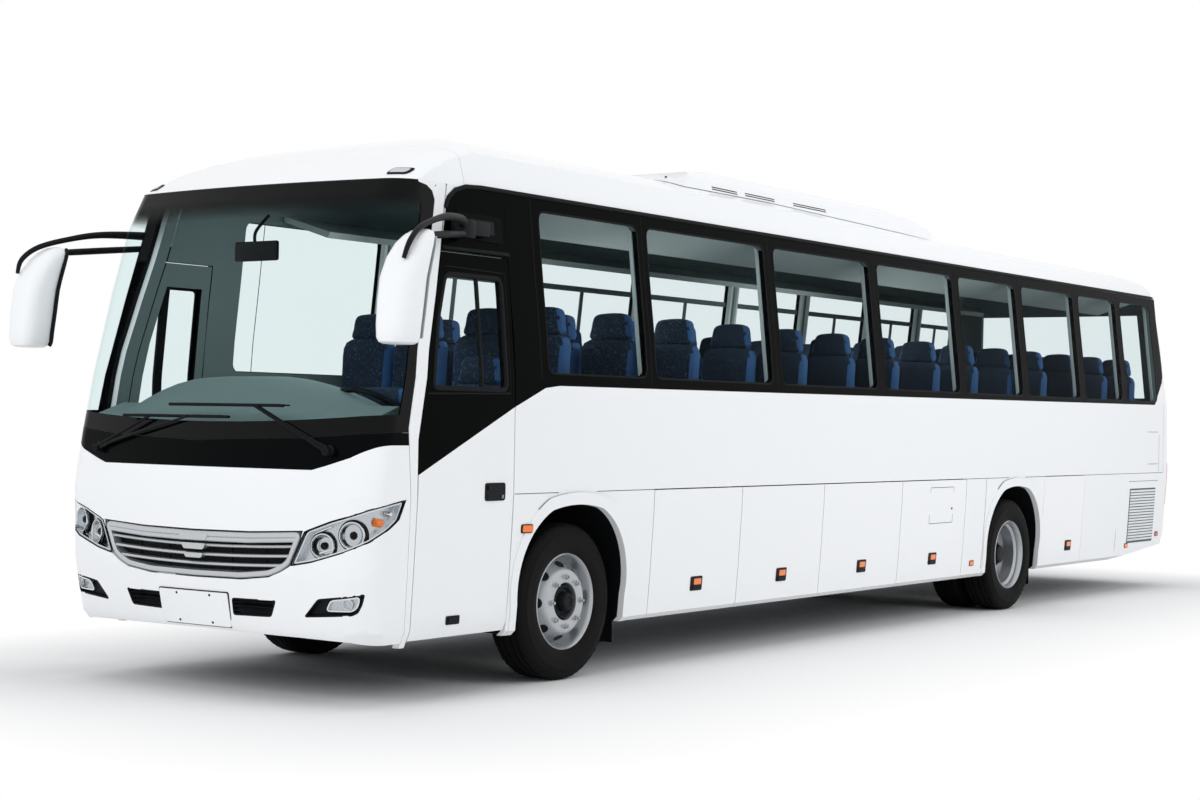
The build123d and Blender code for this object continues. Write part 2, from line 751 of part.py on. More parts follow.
# the floor's plates stand one PLATE_GAP apart, so each is a plain solid of its own
with BuildPart() as saloon_floor:
    add(block(-1195, 1195, DOOR_REAR + 22, 10640, FLOOR_Z - 60, FLOOR_Z))
    add(block(-523, 753, -1940, DOOR_REAR - PLATE_GAP, PLATFORM_Z - 40, PLATFORM_Z))
    add(block(-1185, -525, ENTRY_REAR + 12, DOOR_REAR - PLATE_GAP, PLATFORM_Z - 40, PLATFORM_Z))
    add(block(-1185, 1185, DOOR_REAR, DOOR_REAR + 20, PLATFORM_Z - 40, FLOOR_Z))
    add(block(-250, 250, -960, DOOR_REAR - PLATE_GAP, PLATFORM_Z + PLATE_GAP, 1175))
    add(block(-1100, -550, ENTRY_REAR - 8, ENTRY_REAR + 10, 355, PLATFORM_Z))
    add(block(780, 1100, -718, -700, 395, PLATFORM_Z))
    add(stair(ENTRY_STEPS, -1560, ENTRY_REAR - 10, -1))
    add(stair(DRIVER_STEPS, -1560, -720, 1))
write(saloon_floor, "saloon_floor")


def housing(axle, section, hand):
    """Curved sheet over one wheel, closed towards the middle above the axle."""
    with BuildPart() as sheet:
        add(front_prism(section, axle - 800, axle + 800))
        add(arch_prism(axle, HOUSING_OUTER), mode=Mode.INTERSECT)
        add(arch_prism(axle, HOUSING_INNER), mode=Mode.SUBTRACT)
        add(inner_cheek(axle, hand))
    return sheet.part


def inner_cheek(axle, hand):
    """Flat inner wall of a wheel housing."""
    with BuildPart() as cheek:
        add(arch_prism(axle, HOUSING_OUTER))
        add(
            block(hand * HOUSING_X, hand * (HOUSING_X + 6), axle - 700, axle + 700, 660, 1200),
            mode=Mode.INTERSECT,
        )
    return cheek.part


def mudflap(axle, hand):
    """Rubber flap hung behind a wheel."""
    rear = axle + ARCH_OFFSETS[axle] + HOUSING_INNER[0]
    return block(hand * 700, hand * 1120, rear, rear + 8, 190, 560)


HOLD_FRONT = 700
HOLD_REAR = 6215
HOLD_TOP = FLOOR_Z - 60 - PLATE_GAP
with BuildPart() as luggage_hold:
    add(block(-1150, 1150, HOLD_FRONT - 20, HOLD_REAR + 20, 400, 440))
    for front in (HOLD_FRONT - 20, HOLD_REAR):
        add(block(-1150, 1150, front, front + 20, 440 + PLATE_GAP, HOLD_TOP))
    for hand in (1, -1):
        for station in [HOLD_DOORS[0][1]] + [rear for name, front, rear in HOLD_DOORS]:
            add(block(hand * 1060, hand * 1120, station - 30, station + 30, 440 + PLATE_GAP, HOLD_TOP))
write(luggage_hold, "luggage_hold")

RAIL_X = (390, 460)
LOW_RAIL = (HOLD_FRONT - 90, HOLD_REAR + 90)
JACKING_PADS = (1000, 5800)
with BuildPart() as chassis_frame:
    for hand in (1, -1):
        inner, outer = sorted((hand * RAIL_X[0], hand * RAIL_X[1]))
        add(block(inner, outer, -1750, HOLD_FRONT - 20, 620, 860))
        add(block(inner, outer, HOLD_REAR + 20, 10500, 620, 860))
        add(block(inner, outer, *LOW_RAIL, 340, 400 - PLATE_GAP))
        for front in (HOLD_FRONT - 90, HOLD_REAR + 20 + PLATE_GAP):
            add(block(inner, outer, front, front + 66, 400, 620 - PLATE_GAP))
        for front in JACKING_PADS:
            add(block(inner - 25, outer + 25, front, front + 120, 325, 340 - PLATE_GAP))
    for station in (-1700, -760, 520, 1800, 3400, 5000, 6260, 7700, 10300):
        low = 340 if HOLD_FRONT < station < HOLD_REAR else 660
        add(block(-390 + PLATE_GAP, 390 - PLATE_GAP, station, station + 80, low, low + 58))
    for station in (-1700, 6260, 7700, 10300):
        add(block(-1140, 1140, station + 10, station + 70, 860 + PLATE_GAP, 940))
write(chassis_frame, "chassis_frame")

HOUSING_X = 560
with BuildPart() as wheel_housings:
    inner_section = [(half - SKIN - 2, z) for z, half in SIDE_SECTION if z <= BELT_Z]
    for axle in (0, WHEELBASE):
        for hand in (1, -1):
            section = [(HOUSING_X, SKIRT_Z)] + inner_section + [(HOUSING_X, BELT_Z)]
            add(housing(axle, [(hand * x, z) for x, z in section], hand))
            add(mudflap(axle, hand))
write(wheel_housings, "wheel_housings")

with BuildPart() as engine:
    add(block(-360, 360, 9000, 10280, 480, 1180))
write(engine, "engine")

# ---------------------------------------------------------------- axles, knuckles and wheels
AXLE_Z = TYRE_RADIUS
FRONT_WHEEL_X = FRONT_TRACK / 2
REAR_OUTER_X = 1079
REAR_INNER_X = 759


def tube_x(x_low, x_high, outer, inner, axle):
    """Cylinder or ring about an axle, between two X values."""
    with BuildPart() as tube:
        with BuildSketch(Plane(origin=(x_low, at(axle), AXLE_Z), z_dir=(1, 0, 0))):
            Circle(outer)
            if inner:
                Circle(inner, mode=Mode.SUBTRACT)
        extrude(amount=x_high - x_low)
    return tube.part


def upright(x, axle, z_low, z_high, radius):
    """Upright cylinder at a kingpin."""
    with BuildPart() as post:
        with BuildSketch(Plane.XY.offset(z_low)):
            with Locations((x, at(axle))):
                Circle(radius)
        extrude(amount=z_high - z_low)
    return post.part


def leaf_spring(axle, half_length, seat_z, eye_z, x_low, x_high):
    """Bowed leaf spring pack seen from the side."""
    front = at(axle - half_length)
    rear = at(axle + half_length)
    with BuildPart() as spring:
        with BuildSketch(Plane.YZ.offset(x_low)):
            with BuildLine():
                ThreePointArc((front, eye_z), (at(axle), seat_z), (rear, eye_z))
                Line((rear, eye_z), (rear, eye_z + 22))
                ThreePointArc((rear, eye_z + 22), (at(axle), seat_z + 60), (front, eye_z + 22))
                Line((front, eye_z + 22), (front, eye_z))
            make_face()
        extrude(amount=x_high - x_low)
    return spring.part


with BuildPart() as front_axle:
    add(block(-700, 700, -55, 55, 330, 430))
    for hand in (1, -1):
        add(side_prism([(-55, 330), (55, 330), (55, 430), (-55, 430)], hand * 690, hand * 720))
        add(front_prism([(hand * 700, 330), (hand * 700, 430), (hand * 850, 560), (hand * 900, 560),
                         (hand * 900, 440), (hand * 860, 440)], -45, 45))
        add(upright(hand * KINGPIN_X, 0, 440, 560, 48))
        add(upright(hand * KINGPIN_X, 0, 300, 700, 22.4), mode=Mode.SUBTRACT)
        add(leaf_spring(0, 560, 440, 585, *sorted((hand * RAIL_X[0], hand * RAIL_X[1]))))
        add(block(hand * 380, hand * 470, -60, 60, 420, 460))
write(front_axle, "front_axle")

with BuildPart() as rear_axle:
    add(tube_x(-600, 600, 85, 0, WHEELBASE))
    with Locations((0, at(WHEELBASE), AXLE_Z)):
        Sphere(215)
    for hand in (1, -1):
        add(tube_x(min(hand * 590, hand * 640), max(hand * 590, hand * 640), 150, 0, WHEELBASE))
        add(tube_x(min(hand * 630, hand * 1100), max(hand * 630, hand * 1100), 55, 0, WHEELBASE))
        add(block(hand * RAIL_X[0], hand * RAIL_X[1], WHEELBASE - 90, WHEELBASE + 90, 560, 620))
write(rear_axle, "rear_axle")


def revolved(points, centre_x, hand, axle):
    """Ring made by turning (offset outwards, radius) points about an axle."""
    with BuildPart() as ring:
        with BuildSketch(Plane(origin=(0, at(axle), AXLE_Z), x_dir=(1, 0, 0), z_dir=(0, -1, 0))):
            with BuildLine():
                Polyline([(centre_x + hand * offset, radius) for offset, radius in points], close=True)
            make_face()
        revolve(axis=Axis((0, at(axle), AXLE_Z), (1, 0, 0)))
    return ring.part


TYRE_PROFILE = [(-108, 294), (-112, 305), (-138, 350), (-138, 420), (-118, 480), (-100, 496), (0, 500),
                (100, 496), (118, 480), (138, 420), (138, 350), (112, 305), (108, 294)]
RIM_PROFILE = [(-126, 305), (-126, 288), (-60, 262), (60, 262), (96, 282), (126, 290), (126, 305),
               (112, 305), (108, 294), (64, 276), (-60, 276), (-108, 294), (-112, 305)]
FRONT_DISC = [(70, 272), (100, 215), (128, 150), (128, 60), (112, 60), (112, 146), (84, 206), (54, 266)]
REAR_DISC = [
    (-10, 272), (-130, 225), (-152, 150), (-152, 60),
    (-168, 60), (-168, 156), (-144, 236), (-26, 272),
]

for name, hand in (("left", 1), ("right", -1)):
    centre = hand * FRONT_WHEEL_X
    with BuildPart() as knuckle:
        pin = hand * KINGPIN_X
        add(upright(pin, 0, 372, 628, 22))
        for low in (372, 572):
            add(upright(pin, 0, low, low + 56, 50))
            add(block(pin, pin + hand * 100, -50, 50, low, low + 56))
        add(block(pin + hand * 62, pin + hand * 100, -60, 60, 372, 628))
        add(tube_x(*sorted((pin + hand * 95, pin + hand * 225)), 36, 0, 0))
    write(knuckle, f"steering_knuckle_{name}")

    with BuildPart() as tyre:
        add(revolved(TYRE_PROFILE, centre, hand, 0))
    write(tyre, f"front_tyre_{name}")

    with BuildPart() as wheel:
        add(revolved(RIM_PROFILE, centre, hand, 0))
        add(revolved(FRONT_DISC, centre, hand, 0))
        add(tube_x(*sorted((centre - hand * 25, centre + hand * 126)), 75, 36.4, 0))
        add(tube_x(*sorted((centre + hand * 100, centre + hand * 150)), 70, 0, 0))
        add(tube_x(*sorted((centre - hand * 20, centre + hand * 60)), 205, 190, 0))
        add(tube_x(*sorted((centre + hand * 50, centre + hand * 70)), 205, 60, 0))
    write(wheel, f"front_wheel_{name}")

    with BuildPart() as rear_tyres:
        for x in (REAR_OUTER_X, REAR_INNER_X):
            add(revolved(TYRE_PROFILE, hand * x, hand, WHEELBASE))
    write(rear_tyres, f"rear_tyres_{name}")

    with BuildPart() as rear_wheels:
        outer = hand * REAR_OUTER_X
        inner = hand * REAR_INNER_X
        add(revolved(RIM_PROFILE, outer, hand, WHEELBASE))
        add(revolved(RIM_PROFILE, inner, -hand, WHEELBASE))
        add(revolved(REAR_DISC, outer, hand, WHEELBASE))
        add(revolved(REAR_DISC, inner, -hand, WHEELBASE))
        add(tube_x(*sorted((hand * 760, hand * 1120)), 110, 55.4, WHEELBASE))
        add(tube_x(*sorted((hand * 1110, hand * 1130)), 110, 0, WHEELBASE))
    write(rear_wheels, f"rear_wheels_{name}")

# ---------------------------------------------------------------- saloon fittings
SEAT_PROFILE = [(-600, 400), (-600, 455), (-570, 490), (-230, 470), (-180, 520), (-120, 850), (-135, 870),
                (-110, 1070), (-70, 1090), (-20, 1060), (-35, 850), (-95, 420), (-160, 380)]
SEAT_WIDTH = 470
SEAT_CENTRES = (900, 425)


def seat(x, station, floor):
    """One padded seat, its headrest's rear at the station."""
    points = [(station + back, floor + height) for back, height in SEAT_PROFILE]
    return side_prism(points, x - SEAT_WIDTH / 2, x + SEAT_WIDTH / 2)


for name, hand, rows in (("left", 1, SEAT_ROWS_LEFT), ("right", -1, SEAT_ROWS_RIGHT)):
    with BuildPart() as seats:
        add([seat(hand * x, station + 400, FLOOR_Z) for station in rows for x in SEAT_CENTRES])
    write(seats, f"seats_{name}")

with BuildPart() as seat_frames:
    legs = []
    for hand, rows in ((1, SEAT_ROWS_LEFT), (-1, SEAT_ROWS_RIGHT)):
        for station in rows:
            for x in SEAT_CENTRES:
                leg = hand * x
                legs.append(block(leg - 20, leg + 20, station - 80, station + 220, FLOOR_Z, FLOOR_Z + 380))
    add(legs)
write(seat_frames, "seat_frames")

with BuildPart() as driver_seat:
    add(seat(620, -540, PLATFORM_Z + 20))
    add(block(520, 720, -1060, -800, PLATFORM_Z, PLATFORM_Z + 420))
write(driver_seat, "driver_seat")

with BuildPart() as luggage_racks:
    for hand in (1, -1):
        add(front_prism([(hand * 1068, 2985), (hand * 660, 2860), (hand * 640, 2900), (hand * 1068, 3025)],
                        -300, 10300))
write(luggage_racks, "luggage_racks")

DASH = [
    (-1960, 1000), (-1990, 1560), (-1940, 1620), (-1650, 1720),
    (-1500, 1700), (-1470, 1560), (-1560, 1000),
]
STEERING_COLUMN = ((620, -1290, 1700), (620, -1530, 1280))
with BuildPart() as dashboard:
    add(side_prism(DASH, -1150, 1150))
    add(plan_solid(nose_table, WALL + 12, -600, BOW_RADIUS, -1), mode=Mode.INTERSECT)
    add(block(-1200, -500, -1600, -1300, 900, 1800), mode=Mode.SUBTRACT)
    add(round_bar(*STEERING_COLUMN, 25), mode=Mode.SUBTRACT)
write(dashboard, "dashboard")

with BuildPart() as steering_wheel:
    tilt = Plane(origin=(620, at(-1290), 1700), x_dir=(1, 0, 0), z_dir=(0, 0.5, 0.866))
    with BuildSketch(tilt):
        Circle(225)
        Circle(195, mode=Mode.SUBTRACT)
        Rectangle(400, 40)
        Circle(60)
    extrude(amount=24)
    add(round_bar(*STEERING_COLUMN, 25))
write(steering_wheel, "steering_wheel")

# ---------------------------------------------------------------- mirrors and wipers
MIRROR_X = 1520
# mirror housing: (height, station of the middle, half width, half depth)
MIRROR_SECTIONS = [
    (2052, -2086, 74, 62),
    (2120, -2088, 96, 98),
    (2385, -2060, 115, 140),
    (2610, -1965, 98, 104),
    (2700, -1900, 66, 56),
]
for name, hand in (("left", 1), ("right", -1)):
    with BuildPart() as mirror:
        for height, station, half_width, half_depth in MIRROR_SECTIONS:
            with BuildSketch(Plane.XY.offset(height)):
                with Locations((hand * MIRROR_X, at(station))):
                    Ellipse(half_width, half_depth)
        loft()
        add(round_bar((hand * 1500, -1930, 2640), (hand * 1470, -1860, 2790), 18))
        add(round_bar((hand * 1470, -1860, 2790), (hand * 1420, -1480, 2820), 22))
        add(round_bar((hand * 1420, -1480, 2820), (hand * 1190, -1150, 2800), 28))
        add(block(hand * 1158, hand * 1195, -1230, -900, 2760, 2840))
    write(mirror, f"mirror_{name}")

# wiper: (pivot X, pivot Z, blade ends X, blade Z)
WIPERS = [(967, 1461, 637, -277, 1712), (-927, 1442, 204, -671, 1642)]
with BuildPart() as wipers:
    for pivot_x, pivot_z, blade_a, blade_b, blade_z in WIPERS:
        middle = (blade_a + blade_b) / 2 + (pivot_x - (blade_a + blade_b) / 2) * 0.3
        add(round_bar((pivot_x, -1990, pivot_z), (pivot_x, -2075, pivot_z), 26))
        add(round_bar((pivot_x, -2070, pivot_z), (middle, -2075, blade_z), 9))
        add(round_bar((blade_a, -2062, blade_z), (blade_b, -2075, blade_z), 9))
    add(plan_solid(nose_table, -2, DOOR_REAR + 300, BOW_RADIUS, -1), mode=Mode.SUBTRACT)
write(wipers, "wipers")
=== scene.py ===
# %% [markdown]
# # A white coach, dressed for its portrait
#
# The coach arrives as a packed CAD model: every panel, pane, seat and wheel is already in its real place,
# in metres, with X to the coach's left, -Y ahead and Z up. This lesson gives that model its paint, glass,
# rubber and cloth, and adds the small things a factory screws on last. The frame is loaded first, because
# every later cell asks it where things are.

# %% Load the frame
import json
import math

import bmesh
import bpy
from mathutils import Matrix, Vector
from mathutils.bvhtree import BVHTree


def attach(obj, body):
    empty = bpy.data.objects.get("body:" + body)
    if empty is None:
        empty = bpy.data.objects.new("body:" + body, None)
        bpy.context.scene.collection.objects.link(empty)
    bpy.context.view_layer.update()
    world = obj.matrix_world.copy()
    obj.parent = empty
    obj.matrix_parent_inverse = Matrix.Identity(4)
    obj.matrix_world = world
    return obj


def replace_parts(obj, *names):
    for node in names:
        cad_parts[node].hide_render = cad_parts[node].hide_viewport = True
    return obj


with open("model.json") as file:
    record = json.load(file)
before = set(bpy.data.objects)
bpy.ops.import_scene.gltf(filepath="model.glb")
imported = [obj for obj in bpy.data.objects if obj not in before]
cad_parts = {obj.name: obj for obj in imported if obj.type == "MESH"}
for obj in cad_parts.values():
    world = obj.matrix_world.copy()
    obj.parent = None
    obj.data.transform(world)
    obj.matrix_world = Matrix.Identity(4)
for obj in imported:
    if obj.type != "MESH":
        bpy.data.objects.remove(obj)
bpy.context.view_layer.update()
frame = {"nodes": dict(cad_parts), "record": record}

NODES = frame["nodes"]
BODY_OF = {node: body for body, nodes in frame["record"]["behaviour"]["bodies"].items() for node in nodes}
FRONT_AXLE_Y = -4.420
WHEELBASE = 6.830
REAR_AXLE_Y = FRONT_AXLE_Y + WHEELBASE

# %% [markdown]
# ## Camera
#
# A long coach looks right only from the right distance, so the camera's place and lens matter more than any
# material. It stands ahead of the front corner at a tall person's eye height, and it is rolled by one
# degree. The three directions below are the camera's own right, up and back axes, written as the columns of
# a matrix.

# %% Camera
CAMERA_AT = Vector((8.81001, -15.06973, 1.66761))
CAMERA_RIGHT = Vector((0.82078519, 0.57097471, 0.01730753))
CAMERA_UP = Vector((-0.00896247, -0.01742273, 0.99980804))
CAMERA_BACK = Vector((0.57116665, -0.82078275, -0.00918297))

camera_data = bpy.data.cameras.new("camera")
camera_data.sensor_fit = "HORIZONTAL"
camera_data.sensor_width = 36
camera_data.lens = 61.656
camera = bpy.data.objects.new("camera", camera_data)
turn = Matrix((CAMERA_RIGHT, CAMERA_UP, CAMERA_BACK)).transposed()
camera.matrix_world = Matrix.Translation(CAMERA_AT) @ turn.to_4x4()
bpy.context.scene.collection.objects.link(camera)
bpy.context.scene.camera = camera
print("camera", round((CAMERA_AT - Vector((0, -4, 1.6))).length, 1), "m from the coach")

# %% [markdown]
# ## Shader sums, written as sums
#
# A procedural material is arithmetic on coordinates. Wiring that by hand hides it, so a small class wraps a
# node socket and gives it the usual operators: `1 - mask` or `noise * 0.2 + 0.5` then adds the Math nodes
# itself. Anything that isn't plain arithmetic comes from one method, `node`, which takes a node's type, its
# settings and the values or links of its sockets.

# %% Wired sockets
class Wire:
    """A node socket that understands arithmetic."""

    def __init__(self, tree, socket):
        self.tree = tree
        self.socket = socket

    def math(self, operation, other=None, flip=False, clamp=False):
        """Any Math node on this wire and, where it has two inputs, on another value."""
        node = self.tree.nodes.new("ShaderNodeMath")
        node.operation = operation
        node.use_clamp = clamp
        values = [self, other]
        if flip:
            values.reverse()
        for socket, value in zip(node.inputs, values):
            if isinstance(value, Wire):
                self.tree.links.new(value.socket, socket)
            elif value is not None:
                socket.default_value = value
        return Wire(self.tree, node.outputs[0])

    def __add__(self, other):
        return self.math("ADD", other)

    def __mul__(self, other):
        return self.math("MULTIPLY", other)

    def __sub__(self, other):
        return self.math("SUBTRACT", other)

    def __rsub__(self, other):
        return self.math("SUBTRACT", other, flip=True)

    __radd__ = __add__
    __rmul__ = __mul__

    def __gt__(self, other):
        return self.math("GREATER_THAN", other)

    def __lt__(self, other):
        return self.math("LESS_THAN", other)

    def absolute(self):
        return self.math("ABSOLUTE")

    def both(self, other):
        return self.math("MULTIPLY", other)

    def either(self, other):
        return self.math("MAXIMUM", other)


print("Wire knows", [word for word in vars(Wire) if not word.startswith("_")])

# %% A finish and its nodes
class Finish:
    """One material: a Principled shader and the nodes that vary it."""

    def __init__(self, name, color, roughness, **constants):
        self.material = bpy.data.materials.new(name)
        self.material.use_nodes = True
        self.tree = self.material.node_tree
        self.shader = self.tree.nodes["Principled BSDF"]
        self.output = self.tree.nodes["Material Output"]
        self.set("Base Color", color)
        self.set("Roughness", roughness)
        for key, value in constants.items():
            self.set(key.replace("_", " "), value)

    def fill(self, socket, value):
        """Links a wire to a socket or sets its value; three numbers make an opaque colour."""
        if isinstance(value, Wire):
            self.tree.links.new(value.socket, socket)
        elif isinstance(value, tuple) and len(value) == 3 and socket.type == "RGBA":
            socket.default_value = (*value, 1)
        else:
            socket.default_value = value

    def set(self, name, value):
        self.fill(self.shader.inputs[name], value)

    def node(self, kind, settings=None, output=0, **inputs):
        """Any node, its settings first and then its sockets by name, or by number as i0, i1."""
        node = self.tree.nodes.new(kind)
        for key, value in (settings or {}).items():
            setattr(node, key, value)
        for key, value in inputs.items():
            self.fill(node.inputs[int(key[1:]) if key[1:].isdigit() else key], value)
        return Wire(self.tree, node.outputs[output])

    def place(self, kind="ShaderNodeTexCoord", output=3):
        """X, Y and Z in metres, in the coach's own frame."""
        split = self.tree.nodes.new("ShaderNodeSeparateXYZ")
        self.tree.links.new(self.node(kind, output=output).socket, split.inputs[0])
        return [Wire(self.tree, axis) for axis in split.outputs]

    def noise(self, scale, detail):
        vector = self.node("ShaderNodeTexCoord", output=3)
        return self.node("ShaderNodeTexNoise", Vector=vector, Scale=scale, Detail=detail, Roughness=0.5)

    def mix(self, mask, low, high):
        """Colour low where the mask is 0 and high where it is 1."""
        return self.node("ShaderNodeMix", {"data_type": "RGBA"}, output=2, i0=mask, i6=low, i7=high)

    def bump(self, height, strength, distance):
        self.set("Normal", self.node("ShaderNodeBump", Strength=strength, Distance=distance, Height=height))


print("Finish knows", [word for word in vars(Finish) if not word.startswith("_")])

# %% Colours and shader outputs
def linear(code):
    """A #RRGGBB colour as the linear numbers that shaders use."""
    values = [int(code[i:i + 2], 16) / 255 for i in (1, 3, 5)]
    return tuple(((v + 0.055) / 1.055) ** 2.4 if v > 0.04045 else v / 12.92 for v in values)


def shaded(color, share):
    """The same colour made darker or paler by a share."""
    return tuple(min(value * share, 1) for value in color)


def emitter(tree, kind, color, strength=1.0):
    """A node that needs only a colour and, where it has one, a strength."""
    node = tree.nodes.new(kind)
    node.inputs["Color"].default_value = (*color, 1)
    if "Strength" in node.inputs:
        node.inputs["Strength"].default_value = strength
    return node


def blend(tree, amount, first, second, output):
    """Mixes two shader nodes by an amount and sends the result to an output node."""
    mixer = tree.nodes.new("ShaderNodeMixShader")
    tree.links.new(amount.socket, mixer.inputs[0])
    tree.links.new(first.outputs[0], mixer.inputs[1])
    tree.links.new(second.outputs[0], mixer.inputs[2])
    tree.links.new(mixer.outputs[0], output.inputs["Surface"])


print("shader helpers ready")

# %% [markdown]
# ## Studio
#
# White vehicles are shown on white, which hides their edges unless the light is uneven. The world is white
# where the camera, gloss and glass look at it, but it lights the paint with a dimmer grey. Large soft lamps
# add the slope of light from the left flank to the nose, and small ones light the saloon and the cab. The
# floor is pale and plain, keeps the coach's shadow and fades to white away from it.

# %% World
def seen_directly(tree):
    """1 where a ray comes from the camera, gloss or glass."""
    path = tree.nodes.new("ShaderNodeLightPath")
    by_camera, by_gloss, by_glass = (Wire(tree, path.outputs[f"Is {kind} Ray"])
                                     for kind in ("Camera", "Glossy", "Transmission"))
    return by_camera.either(by_gloss).either(by_glass)


WHITE_LIGHT = (1, 1, 1)
scene = bpy.context.scene
scene.view_settings.view_transform = "Standard"
world = bpy.data.worlds.new("studio")
scene.world = world
world.use_nodes = True
sky = world.node_tree
blend(sky, seen_directly(sky), emitter(sky, "ShaderNodeBackground", (0.93, 0.96, 1.0), 0.55),
      emitter(sky, "ShaderNodeBackground", WHITE_LIGHT), sky.nodes["World Output"])
print("world:", world.name)

# %% Lamps
def placed(name, data):
    """A mesh or a lamp as an object of the scene."""
    item = bpy.data.objects.new(name, data)
    scene.collection.objects.link(item)
    return item


def soft_lamp(name, place, target, size, power):
    """A large square area lamp that looks at a point."""
    data = bpy.data.lights.new(name, "AREA")
    data.size = size
    data.energy = power
    lamp = placed(name, data)
    lamp.location = place
    lamp.rotation_euler = (Vector(target) - Vector(place)).to_track_quat("-Z", "Y").to_euler()
    lamp.visible_glossy = False


soft_lamp("flank_light", (16, 2, 9), (1.2, 1, 1.5), 12, 1020)
soft_lamp("nose_light", (1, -18, 8), (0, -6.5, 1.6), 7, 760)
for end, (height, aim, power) in enumerate(((2.15, 3.2, 12), (2.82, 1.4, 5))):
    for y in (-3.2, 1.2):
        soft_lamp(f"saloon_light_{end}", (0, y, height), (0, y + 0.001, aim), 1.6, power)
soft_lamp("cab_light", (0.3, -5.0, 2.7), (-0.6, -5.8, 1.7), 0.8, 14)
soft_lamp("overhead_light", (2, 0, 14), (0, 0, 3), 12, 280)
print(len(bpy.data.lights), "soft lamps")

# %% Floor
FLOOR_EDGE = 60
floor_mesh = bpy.data.meshes.new("studio_floor")
floor_corners = [(x * FLOOR_EDGE, y * FLOOR_EDGE, 0) for x, y in ((-1, -1), (1, -1), (1, 1), (-1, 1))]
floor_mesh.from_pydata(floor_corners, [], [(0, 1, 2, 3)])
studio_floor = placed("studio_floor", floor_mesh)
ground = Finish("studio_floor", (0.86, 0.86, 0.86), 0.9, Specular_IOR_Level=0.0)
x, y, _ = ground.place("ShaderNodeNewGeometry", 0)
beside = (x.absolute() - 1.2).math("MAXIMUM", 0.0)
beyond = (y.absolute() - 6.2).math("MAXIMUM", 0.0)
away = ((beside * beside + beyond * beyond).math("SQRT") * 0.45).math("MINIMUM", 1.0)
blend(ground.tree, away * seen_directly(ground.tree), ground.shader,
      emitter(ground.tree, "ShaderNodeEmission", WHITE_LIGHT), ground.output)
floor_mesh.materials.append(ground.material)
print("floor", 2 * FLOOR_EDGE, "m across")

# %% [markdown]
# ## Paints and materials
#
# Each finish is one Principled shader with its own small variation: coach paint has a slight orange-peel
# bump under its clear coat, rubber has a fine grain, moulded plastic is stippled and cloth is woven. The
# numbers are in metres, because every pattern is laid out in the coach's own coordinates.

# %% Recipes for paint, plastic and metal
def painted(name, code, roughness=0.32, coat=0.5, peel=0.004, shine=0.4):
    """Sprayed paint: a barely uneven colour under a clear coat with orange peel."""
    color = linear(code)
    finish = Finish(name, color, roughness, Coat_Weight=coat, Coat_Roughness=0.06, Specular_IOR_Level=shine)
    finish.set("Base Color", finish.mix(finish.noise(0.9, 2) * 0.06, color, shaded(color, 0.86)))
    finish.set("Roughness", finish.noise(6.0, 3) * 0.08 + (roughness - 0.04))
    finish.bump(finish.noise(260.0, 2), peel * 8, 0.0004)
    return finish


def moulded(name, code, roughness=0.5, grain=900.0, depth=0.12, shine=0.12):
    """Stippled plastic or rubber."""
    color = linear(code)
    finish = Finish(name, color, roughness, Specular_IOR_Level=shine)
    mottle = finish.noise(grain * 0.2, 3)
    finish.set("Base Color", finish.mix(mottle, shaded(color, 0.8), shaded(color, 1.25)))
    finish.set("Roughness", finish.noise(9.0, 3) * 0.14 + (roughness - 0.07))
    finish.bump(finish.noise(grain, 2), depth, 0.0006)
    return finish


def metal(name, code, roughness, metallic=1.0):
    """Bare or plated metal with a soft brushed unevenness."""
    finish = Finish(name, linear(code), roughness, Metallic=metallic)
    finish.set("Roughness", finish.noise(3.0, 1) * 0.06 + (roughness - 0.03))
    return finish


print("recipes ready")

# %% Body paint with the glazing band
# Edges of the black glazing band: height, distance behind the front axle, and slope. The band lies above any
# of the front foot lines and both of the rear foot lines, and below all of the top lines.
FRONT_FOOT = ((1.869, -0.227, 0.0043), (1.853, -0.375, 0.108), (1.725, -0.699, 0.395), (1.329, -1.585, 0.447))
REAR_FOOT = ((1.915, 10.447, 0.96), (2.207, 10.751, 6.69))
BAND_TOP = ((2.961, -1.226, 1.76), (3.01, -1.156, 0.7), (3.038, -1.057, 0.283), (3.04, 0, 0),
            (2.615, 10.812, -8.44))
COACH_WHITE = "#F6F7F8"


def body_finish():
    """White coach paint with the black glazing band sprayed over it, on both flanks."""
    finish = painted("body_paint", COACH_WHITE, shine=0.02)
    x, y, z = finish.place()
    station = y - FRONT_AXLE_Y

    def above(line):
        height, where, slope = line
        return z > (station - where) * slope + height

    inside = above(FRONT_FOOT[0])
    for line in FRONT_FOOT[1:]:
        inside = inside.either(above(line))
    for line in REAR_FOOT:
        inside = inside.both(above(line))
    for line in BAND_TOP:
        inside = inside.both(1 - above(line))
    inside = inside.both(x.absolute() > 1.08)
    # the windscreen posts stay white ahead of the doors, whose front edges lean back in three steps
    post = ((z - 1.53) * 0.189 - 1.588).math("MAXIMUM", -1.588).either((z - 2.048) * 0.279 - 1.490)
    inside = inside.both(station > post)
    white = linear(COACH_WHITE)
    pale = finish.mix(finish.noise(0.8, 2) * 0.05, white, shaded(white, 0.88))
    finish.set("Base Color", finish.mix(inside, pale, linear("#030404")))
    finish.set("Coat Weight", (1 - inside) * 0.5)
    finish.set("Roughness", finish.noise(6.0, 3) * 0.07 + 0.26)
    return finish


BODY_PAINT = body_finish()
print("body paint:", len(BODY_PAINT.tree.nodes), "nodes")

